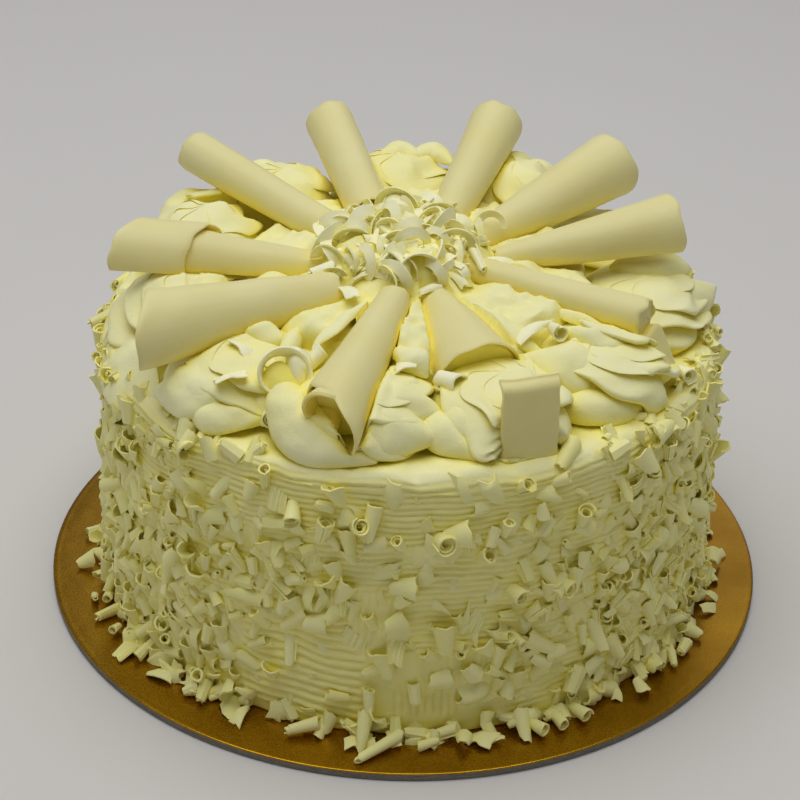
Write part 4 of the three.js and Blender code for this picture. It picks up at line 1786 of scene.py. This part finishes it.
# Curls lying on the card in front of the cake, in the same way
CARD_CURLS = [
    ((SCROLL, 17, 3.6, 1.4, 3, 2), (-7, -117.5, 5.4), 38, 6),
    ((GUTTER, 13, 3.6, 0.6, 3, 18), (-12, -112.5, 8), 80, 52),
    ((SCROLL, 11, 3.8, 1.6, 3, 3), (13, -110, 6), 15, 14),
    ((CHIP, 9, 6, 1.5, 3, 4), (26, -110, 5.6), -20, 12),
    ((SCROLL, 8.5, 4.2, 1.7, 3, 5), (44, -104, 5.6), -50, 10),
    ((SCROLL, 8, 3.8, 1.7, 3, 6), (51.5, -100.5, 5.4), -65, 8),
    ((SCROLL, 8, 4.2, 1.8, 3, 7), (58.5, -96.5, 5.6), -55, 10),
    ((SCROLL, 10, 3.8, 1.5, 3, 8), (-32, -108.5, 6), 12, 10),
    ((SHARD, 9, 5, 1.3, 3, 9), (-52, -101, 5.4), 60, 10),
    ((SCROLL, 9, 4.4, 1.8, 3, 10), (-104.5, -31, 12), 0, 82),
    ((SCROLL, 9, 4.4, 1.7, 3, 11), (104.5, -30, 14), 20, 80),
    ((CHIP, 10, 5, 1.5, 3, 12), (-80, -80, 5.4), -30, 10),
    ((GUTTER, 10, 4, 0.6, 3, 13), (84, -71, 5.6), -40, 10),
]

# Curled lips at the open ends of rolls, by the node of the roll
ROLL_LIPS = {"roll_h": ((GUTTER, 10, 11.2, 0.85, 4, 21, 1.5), (-23.8, -88, 116.1), -107, -8, 50)}


def curl_tree() -> Tree:
    """Builds the node tree that lays curls at marked places.

    Returns:
        The tree, with inputs for the curls, their finish, the range of sizes, the tilt and the seed.
    """
    tree = bpy.data.node_groups.new("lay_curls", "GeometryNodeTree")
    sockets = dict(Places="Geometry", Curls="Collection", Finish="Material")
    sockets |= dict(Smallest="Float", Largest="Float", Tilt="Float", Seed="Int")
    for label, kind in sockets.items():
        tree.interface.new_socket(label, in_out="INPUT", socket_type="NodeSocket" + kind)
    tree.interface.new_socket("Curls", in_out="OUTPUT", socket_type="NodeSocketGeometry")
    given = add_node(tree, "NodeGroupInput").outputs
    parts = dict(facing="FLOAT_VECTOR", lie="FLOAT_VECTOR", size="FLOAT", loose="FLOAT", kind="INT")
    read = {
        label: add_node(tree, "GeometryNodeInputNamedAttribute", {"Name": label}, data_type=kind).outputs[0]
        for label, kind in parts.items()
    }
    stand = add_node(tree, "FunctionNodeAlignRotationToVector", {"Vector": read["facing"]}, axis="Z")
    along = {"Rotation": stand.outputs[0], "Vector": read["lie"]}
    turned = add_node(tree, "FunctionNodeAlignRotationToVector", along, axis="X", pivot_axis="Z")
    ends = {0: (-1, -1, 0), 1: (1, 1, 0), "Seed": given["Seed"]}
    swing = add_node(tree, "FunctionNodeRandomValue", ends, data_type="FLOAT_VECTOR")
    amount = add_node(tree, "ShaderNodeMath", {0: given["Tilt"], 1: read["loose"]}, operation="MULTIPLY")
    wide = {0: swing.outputs[0], "Scale": amount.outputs[0]}
    tilt = add_node(tree, "ShaderNodeVectorMath", wide, operation="SCALE")
    turn = add_node(tree, "FunctionNodeEulerToRotation", {0: tilt.outputs[0]})
    both = {0: turned.outputs[0], 1: turn.outputs[0]}
    tilted = add_node(tree, "FunctionNodeRotateRotation", both, rotation_space="LOCAL")
    ends = {2: given["Smallest"], 3: given["Largest"], "Seed": given["Seed"]}
    draw = add_node(tree, "FunctionNodeRandomValue", ends, data_type="FLOAT")
    scaled = add_node(tree, "ShaderNodeMath", {0: draw.outputs[1], 1: read["size"]}, operation="MULTIPLY")
    choice = {"Collection": given["Curls"], "Separate Children": True, "Reset Children": True}
    laying = {
        "Points": given["Places"],
        "Instance": add_node(tree, "GeometryNodeCollectionInfo", choice).outputs[0],
        "Pick Instance": True,
        "Instance Index": read["kind"],
        "Rotation": tilted.outputs[0],
        "Scale": scaled.outputs[0],
    }
    laid = add_node(tree, "GeometryNodeInstanceOnPoints", laying)
    real = add_node(tree, "GeometryNodeRealizeInstances", {"Geometry": laid.outputs[0]})
    dressing = {"Geometry": real.outputs[0], "Material": given["Finish"]}
    dressed = add_node(tree, "GeometryNodeSetMaterial", dressing)
    add_node(tree, "NodeGroupOutput", {0: dressed.outputs[0]})
    return tree


PLACE_PARTS = ("points", "facing", "lie", "size", "loose")


@dataclass
class Places:
    """Places for small curls.

    Attributes:
        points: Middles in millimetres.
        facing: Outward direction at each.
        lie: Direction of the length at each.
        size: Share of full size.
        loose: Share of the full tilt.
    """

    points: Array
    facing: Array
    lie: Array
    size: Array
    loose: Array

    def pick(self, chosen: Array) -> "Places":
        """The places where chosen is true."""
        return Places(*(getattr(self, part)[chosen] for part in PLACE_PARTS))


def joined_places(*lots: Places) -> Places:
    """Puts sets of places together."""
    return Places(*(np.concatenate([getattr(places, part) for places in lots]) for part in PLACE_PARTS))


def lie_across(facing: Array, random: np.random.Generator) -> Array:
    """Draws a direction square to each facing."""
    return unit(np.cross(facing, unit(random.normal(size=facing.shape))))


@dataclass
class CurlLayer:
    """One kind of small curl, laid many times by the node tree.

    Attributes:
        name: Name of the piece.
        shapes: The curls to choose from.
        seed: Seed of the choice and of the tree.
        tilt: Largest tilt in radians.
        smallest: Smallest size.
        largest: Largest size.
    """

    name: str
    shapes: list[SmallCurl]
    seed: int
    tilt: float = 0.6
    smallest: float = 0.8
    largest: float = 1.15

    def shown_places(self, places: Places) -> Piece:
        """Makes the object that carries the places, with what the tree reads at each.

        Args:
            places: The places.

        Returns:
            The object, linked to the scene.
        """
        random = np.random.default_rng(self.seed)
        count = len(places.points)
        spots = bpy.data.meshes.new(self.name + "_places")
        spots.from_pydata((places.points * MM).tolist(), [], [])
        numbers = {part: getattr(places, part) for part in PLACE_PARTS[1:]}
        numbers["tone"] = random.random(count)
        numbers["kind"] = random.integers(0, len(self.shapes), count)
        for label, values in numbers.items():
            set_values(spots, label, values)
        return linked(self.name + "_carrier", spots)

    def lay(self, tree: Tree, places: Places, finish: Material) -> Piece:
        """Lays the curls and makes them one plain mesh.

        Args:
            tree: The node tree.
            places: Where they go.
            finish: Their material.

        Returns:
            The piece.
        """
        source = bpy.data.collections.new(self.name + "_shapes")
        bpy.context.scene.collection.children.link(source)
        for number, shape in enumerate(self.shapes):
            model = mesh_object(f"{self.name}_{number}", shape.form(), finish, CRISP_IN_LOTS)
            bpy.context.scene.collection.objects.unlink(model)
            source.objects.link(model)
        carrier = self.shown_places(places)
        modifier = carrier.modifiers.new("lay", "NODES")
        modifier.node_group = tree
        given = dict(Curls=source, Finish=finish, Smallest=self.smallest, Largest=self.largest)
        given |= dict(Tilt=self.tilt, Seed=self.seed)
        for item in tree.interface.items_tree:
            if item.in_out == "INPUT" and item.name in given:
                modifier[item.identifier] = given[item.name]
        plain = bpy.data.meshes.new_from_object(carrier.evaluated_get(bpy.context.evaluated_depsgraph_get()))
        plain.name = self.name
        made = linked(self.name, plain)
        carrier.modifiers.clear()
        for model in [carrier, *source.objects]:
            bpy.data.objects.remove(model)
        bpy.data.collections.remove(source)
        return made


def wall_curl_layers() -> list[tuple[float, CurlLayer]]:
    """Lists the kinds of curl on the wall.

    Returns:
        Share of the places and layer of each kind.
    """
    scrolls = [(8.5, 4.1, 1.6, 1), (7, 4.8, 1.9, 4), (10, 3.7, 1.4, 7), (6, 3.6, 1.7, 9)]
    rows = [
        (0.33, "side_scrolls", SCROLL, scrolls, 0.85),
        (0.2, "side_gutters", GUTTER, [(9, 4.8, 0.62, 2), (7.5, 5.6, 0.5, 5), (11, 4.2, 0.58, 8)], 0.7),
        (0.1, "side_chips", CHIP, [(8.5, 4.8, 1.8, 3), (7, 4.2, 1.3, 6)], 0.75),
        (0.17, "side_petals", PETAL, [(10, 7, 1.9, 11), (8, 6, 1.5, 12)], 0.6),
        (0.12, "side_shards", SHARD, [(10, 5, 1.7, 13), (8, 3.6, 1.2, 14)], 0.9),
        (0.08, "side_ribbed", RIBBED, [(9, 7.5, 0.9, 15), (10, 6, 1.2, 16)], 0.4),
    ]
    return [
        (share, CurlLayer(name, [SmallCurl(kind, *size, 1, seed) for *size, seed in shapes], number, tilt))
        for number, (share, name, kind, shapes, tilt) in enumerate(rows, 31)
    ]


@dataclass(frozen=True)
class Patch:
    """Soft-edged patch of the wall where curls lie thicker or thinner.

    Attributes:
        amount: Share of the places that take a curl there, or share that is left out.
        azimuth: Its middle, in degrees.
        reach: Half of its width, in degrees.
        height: Its middle above the floor.
        tall: Half of its height.
    """

    amount: float
    azimuth: float
    reach: float
    height: float
    tall: float

    def at(self, azimuth: float, height: float) -> float:
        """The amount at a place, which fades to nothing at the edge.

        Args:
            azimuth: Azimuth in degrees.
            height: Height in millimetres.

        Returns:
            A share from 0 to the amount.
        """
        off = abs((azimuth - self.azimuth + 180) % 360 - 180) / self.reach
        up = abs(height - self.height) / self.tall
        return self.amount * float(1 - ease(0.75, 1.15, max(off, up)))


THICK = [Patch(0.97, -152, 36, 50, 60), Patch(0.97, -22, 34, 50, 60), Patch(0.8, 90, 110, 50, 60)]
THICK += [Patch(0.8, -118, 9, 66, 40)]
THIN = [Patch(0.85, -106, 10, 24, 17), Patch(0.8, -85, 8, 20, 13), Patch(0.8, -90, 36, 88, 7)]
THIN += [Patch(0.7, -80, 10, 58, 12), Patch(0.4, -92, 8, 52, 14), Patch(0.35, -128, 8, 88, 8)]


@dataclass
class SideCurls:
    """Small curls pressed on the wall, thick at both sides and round the foot."""

    coat: CreamCoat
    tries: int = 18000
    usual: float = 0.62
    closest: float = 3.1
    farthest: float = 8.5
    at_foot: int = 230
    seed: int = 77

    def density(self, azimuth: float, height: float) -> float:
        """Share of the wall's places that take a curl.

        Args:
            azimuth: Azimuth in degrees.
            height: Height in millimetres.

        Returns:
            A share from 0 to 1.
        """
        share = max(self.usual, *(patch.at(azimuth, height) for patch in THICK))
        for patch in THIN:
            share *= 1 - patch.at(azimuth, height)
        return share

    def wall_places(self) -> Places:
        """Draws the places on the wall.

        Returns:
            The places.
        """
        random = np.random.default_rng(self.seed)
        kept = np.zeros((0, 2))
        arc = math.radians(1) * CAKE_RADIUS
        around = random.uniform(-180, 180, self.tries)
        drawn = stacked(around, random.uniform(FOOT_Z + 3.0, TOP_Z - 5.0, self.tries))
        clump = Ripple(self.seed, 24.0).at(drawn * [arc, 1.0])
        luck = random.random(self.tries)
        for (azimuth, height), near, chance in zip(drawn, clump, luck):
            density = self.density(azimuth, height)
            if chance > density * (1 + 0.45 * near):
                continue
            place = np.array([azimuth * arc, height])
            gap = np.abs(kept - place)
            gap[:, 0] = np.minimum(gap[:, 0], 360 * arc - gap[:, 0])
            room = self.closest + (self.farthest - self.closest) * (1 - density) ** 1.5
            if len(kept) and np.min(gap[:, 0] ** 2 + gap[:, 1] ** 2) < room**2:
                continue
            kept = np.vstack([kept, place])
        azimuths, heights = kept[:, 0] / arc, kept[:, 1]
        count = len(kept)
        turn = np.radians(azimuths)
        low = 1 - ease(FOOT_Z + 4, FOOT_Z + 16, heights)
        proud = random.random(count) < 0.12
        stand = random.uniform(-0.8, 1.3, count) + 1.5 * low * random.random(count) + 1.4 * proud
        reach = self.coat.wall_radius(heights) * self.coat.swell(azimuths, heights) + stand
        outwards, level = polar(1.0, turn, 0.0), stacked(-np.sin(turn), np.cos(turn), 0.0)
        facing = unit(outwards + UP * random.uniform(-0.2, 0.25, count)[:, None])
        steep = random.normal(math.pi / 2, 0.5, count)
        lean = np.where(random.random(count) < 0.6, steep, random.uniform(0, 2 * math.pi, count))
        lie = level * np.cos(lean)[:, None] + UP * np.sin(lean)[:, None]
        size = random.uniform(0.68, 1.12, count)
        loose = 0.35 + 0.55 * random.random(count) + 0.5 * low + 0.5 * proud
        return Places(polar(reach, turn, heights), facing, lie, size, loose)

    def rim_places(self) -> Places:
        """Draws the places of the curls that lie over the rim, most of them at both sides.

        Returns:
            The places.
        """
        random = np.random.default_rng(self.seed + 3)
        spans = [(-62, 12, 46), (-170, -116, 34), (12, 190, 44)]
        turn = np.radians(np.concatenate([random.uniform(low, high, count) for low, high, count in spans]))
        count = len(turn)
        over = random.random(count) ** 1.6
        reach = CAKE_RADIUS + 0.6 - 7.5 * over
        points = polar(reach, turn, TOP_Z - 3.0 + 3.6 * np.sqrt(over))
        facing = unit(polar(1.0, turn, 0.0) * (1.1 - over)[:, None] + UP * (0.3 + over)[:, None])
        lie = lie_across(facing, random)
        return Places(points, facing, lie, random.uniform(0.75, 1.1, count), 0.6 + 0.5 * random.random(count))

    def foot_places(self) -> Places:
        """Draws the places of the fringe of curls round the foot, some on the card.

        Returns:
            The places.
        """
        random = np.random.default_rng(self.seed + 1)
        count = self.at_foot
        turn = random.uniform(-math.pi, math.pi, count)
        out = random.random(count) ** 2.2
        reach = CAKE_RADIUS + FOOT_SPREAD + 0.8 + 7.5 * out
        points = polar(reach, turn, FOOT_Z + 1.6 + 3.2 * (1 - out) * random.random(count))
        facing = unit(polar(1.0, turn, 0.0) * (1 - 0.8 * out)[:, None] + UP * (0.25 + 0.9 * out)[:, None])
        lie = lie_across(facing, random)
        return Places(points, facing, lie, random.uniform(0.7, 1.05, count), 0.5 + 0.3 * random.random(count))

    def build(self, tree: Tree, finishes: Finishes) -> None:
        """Lays every kind of curl on the wall.

        Args:
            tree: The node tree.
            finishes: The materials.
        """
        wall, foot = self.wall_places(), self.foot_places()
        every = joined_places(wall, self.rim_places(), foot)
        log.info("%d curls on the wall and %d round the foot", len(wall.points), len(foot.points))
        lot = np.random.default_rng(self.seed + 2).random(len(every.points))
        low = 0.0
        for share, layer in wall_curl_layers():
            chosen = (lot >= low) & (lot < low + share)
            low += share
            piece = layer.lay(tree, every.pick(chosen), finishes.side_shaving)
            points = np.zeros(len(piece.data.vertices) * 3, np.float32)
            piece.data.vertices.foreach_get("co", points)
            points = points.reshape(-1, 3)
            points[:, 2] = np.maximum(points[:, 2], LOWEST_CURL_Z * MM)
            piece.data.vertices.foreach_set("co", points.ravel())
            keep(piece, "cake")
        shown = merged([WallCurl(SmallCurl(*shape), *lie).form() for shape, *lie in FRONT_CURLS])
        keep(mesh_object("front_wall_curls", shown, finishes.side_shaving, CRISP), "cake")
        fallen = merged([curl.form() for curl in laid_curls(CARD_CURLS)])
        fallen.points[:, 2] = np.maximum(fallen.points[:, 2], LOWEST_CURL_Z)
        keep(mesh_object("card_curls", fallen, finishes.side_shaving, CRISP), "cake")


@dataclass
class CurlHeap:
    """Heap of shavings in the middle of the top."""

    middle: tuple[float, float] = (-5.0, 3.0)
    base: float = 120.5
    radius: float = 27.0
    height: float = 9.0
    fringe: float = 11.0
    seed: int = 91

    def ledge(self, x: Array, y: Array) -> Array:
        """Height of what the curls lie on: the dome, or the inner ends of the rolls.

        Args:
            x: Places along X.
            y: Places along Y.

        Returns:
            Heights.
        """
        spread = np.hypot(x - self.middle[0], y - self.middle[1]) / self.radius
        level = self.base + self.height * np.sqrt(np.clip(1 - (spread * 0.93) ** 2, 0, 1))
        for roll in ROLLS:
            start, rows, length = roll.basis()
            share = ((x - start[0]) * rows[2][0] + (y - start[1]) * rows[2][1]) / length
            aside = (x - start[0]) * rows[0][0] + (y - start[1]) * rows[0][1]
            radius = roll.radius_at(np.clip(share, 0, 1))
            top = start[2] + share * length * rows[2][2] + np.sqrt(np.clip(radius**2 - aside**2, 0, None))
            on = (share > -0.02) & (share < 1) & (np.abs(aside) < radius)
            level = np.maximum(level, np.where(on, top, 0))
        return level

    def places(self, count: int, lift: float) -> Places:
        """Draws places over the dome and its fringe.

        Args:
            count: Number of places.
            lift: Height above what they lie on.

        Returns:
            The places.
        """
        random = np.random.default_rng(self.seed + count)
        index = np.arange(count) + 0.5
        spread = np.sqrt(index / count)
        turn = index * math.radians(GOLDEN_ANGLE) + random.uniform(-0.3, 0.3, count)
        edge = self.radius + self.fringe * (random.random(count) ** 2 - 0.35) * ease(0.8, 1.0, spread)
        x = self.middle[0] + edge * spread * np.cos(turn)
        y = self.middle[1] + edge * spread * np.sin(turn)
        points = stacked(x, y, self.ledge(x, y) + lift + random.uniform(-0.6, 0.8, count))
        facing = polar(1.0, turn, 0.0) * spread[:, None] * 0.4 + UP
        facing[:, :2] += random.normal(size=(count, 2)) * 0.35
        facing = unit(facing)
        lie = lie_across(facing, random)
        return Places(points, facing, lie, random.uniform(0.7, 1.15, count), random.uniform(0.5, 1.2, count))

    def layers(self) -> list[tuple[int, float, CurlLayer]]:
        """Lists the layers of the heap from below.

        Returns:
            Number of curls, lift and layer of each.
        """
        scrolls = [(SCROLL, 8, 4.4, 1.4, 1), (SCROLL, 10.5, 3.4, 1.7, 4), (SCROLL, 6.5, 3.4, 1.5, 6)]
        ribbons = [(GUTTER, 2.8, 9.5, 0.6, 2), (GUTTER, 2.2, 12, 0.5, 3), (GUTTER, 2.4, 8, 0.8, 5)]
        ribbons += [(SCROLL, 2.8, 8, 1.25, 7)]
        chips = [(CHIP, 12, 2.4, 3, 3), (CHIP, 8.5, 3, 1.6, 9), (PETAL, 8, 4, 1.9, 8)]
        rows = [
            (60, 0.7, "heap_scrolls", scrolls, 0.45),
            (95, 0.9, "heap_ribbons", ribbons, 0.4),
            (90, 1.2, "heap_chips", chips, 0.45),
        ]
        layers = []
        for number, (count, lift, name, curls, tilt) in enumerate(rows, 41):
            shapes = [SmallCurl(*size, 2, seed, 0.5) for *size, seed in curls]
            layers.append((count, lift, CurlLayer(name, shapes, number, tilt)))
        return layers

    def build(self, tree: Tree, finishes: Finishes) -> None:
        """Lays the heap.

        Args:
            tree: The node tree.
            finishes: The materials.
        """
        for count, lift, layer in self.layers():
            piece = layer.lay(tree, self.places(count, lift), finishes.heap_shaving)
            keep(piece, "curl_heap")


@dataclass(frozen=True)
class TopCurls:
    """Curls lying about the top, and the curled lips of the rolls.

    Attributes:
        loose: Rows of the curls.
        lips: Row of each lip, by the node of its roll.
    """

    loose: list[tuple]
    lips: dict[str, tuple]

    def build(self, finishes: Finishes) -> None:
        """Makes the lips, one piece for each roll, and the curls as one piece.

        Args:
            finishes: The materials.
        """
        for node, lip in zip(self.lips, laid_curls(self.lips.values())):
            surface = lip.form()
            none = np.zeros(len(surface.points))
            surface.values = {"inside": surface.values["inside"], "along": none, "around": none}
            keep(mesh_object(f"{node}_lip", surface, finishes.chocolate, CRISP), node)
        shown = merged([curl.form() for curl in laid_curls(self.loose)])
        keep(mesh_object("loose_curls", shown, finishes.heap_shaving, CRISP), "curl_heap")


def main() -> None:
    """Builds the studio and every piece of the cake."""
    logging.basicConfig(level=logging.INFO, format="%(message)s")
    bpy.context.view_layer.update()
    finishes = make_finishes()
    studio = Studio()
    studio.set_camera()
    studio.light_up()
    studio.lay_floor(finishes.floor)
    GoldCard().build(finishes)
    coat = CreamCoat()
    coat.build(finishes)
    CreamBed().build(finishes)
    rosettes = Rosettes()
    rosettes.build(finishes)
    CreamPetals(rosettes).build(finishes)
    for roll in ROLLS:
        roll.build(finishes)
    for broken in BROKEN:
        broken.build(finishes)
    tree = curl_tree()
    SideCurls(coat).build(tree, finishes)
    CurlHeap().build(tree, finishes)
    TopCurls(LOOSE_CURLS, ROLL_LIPS).build(finishes)
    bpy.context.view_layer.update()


if __name__ == "__main__":
    main()
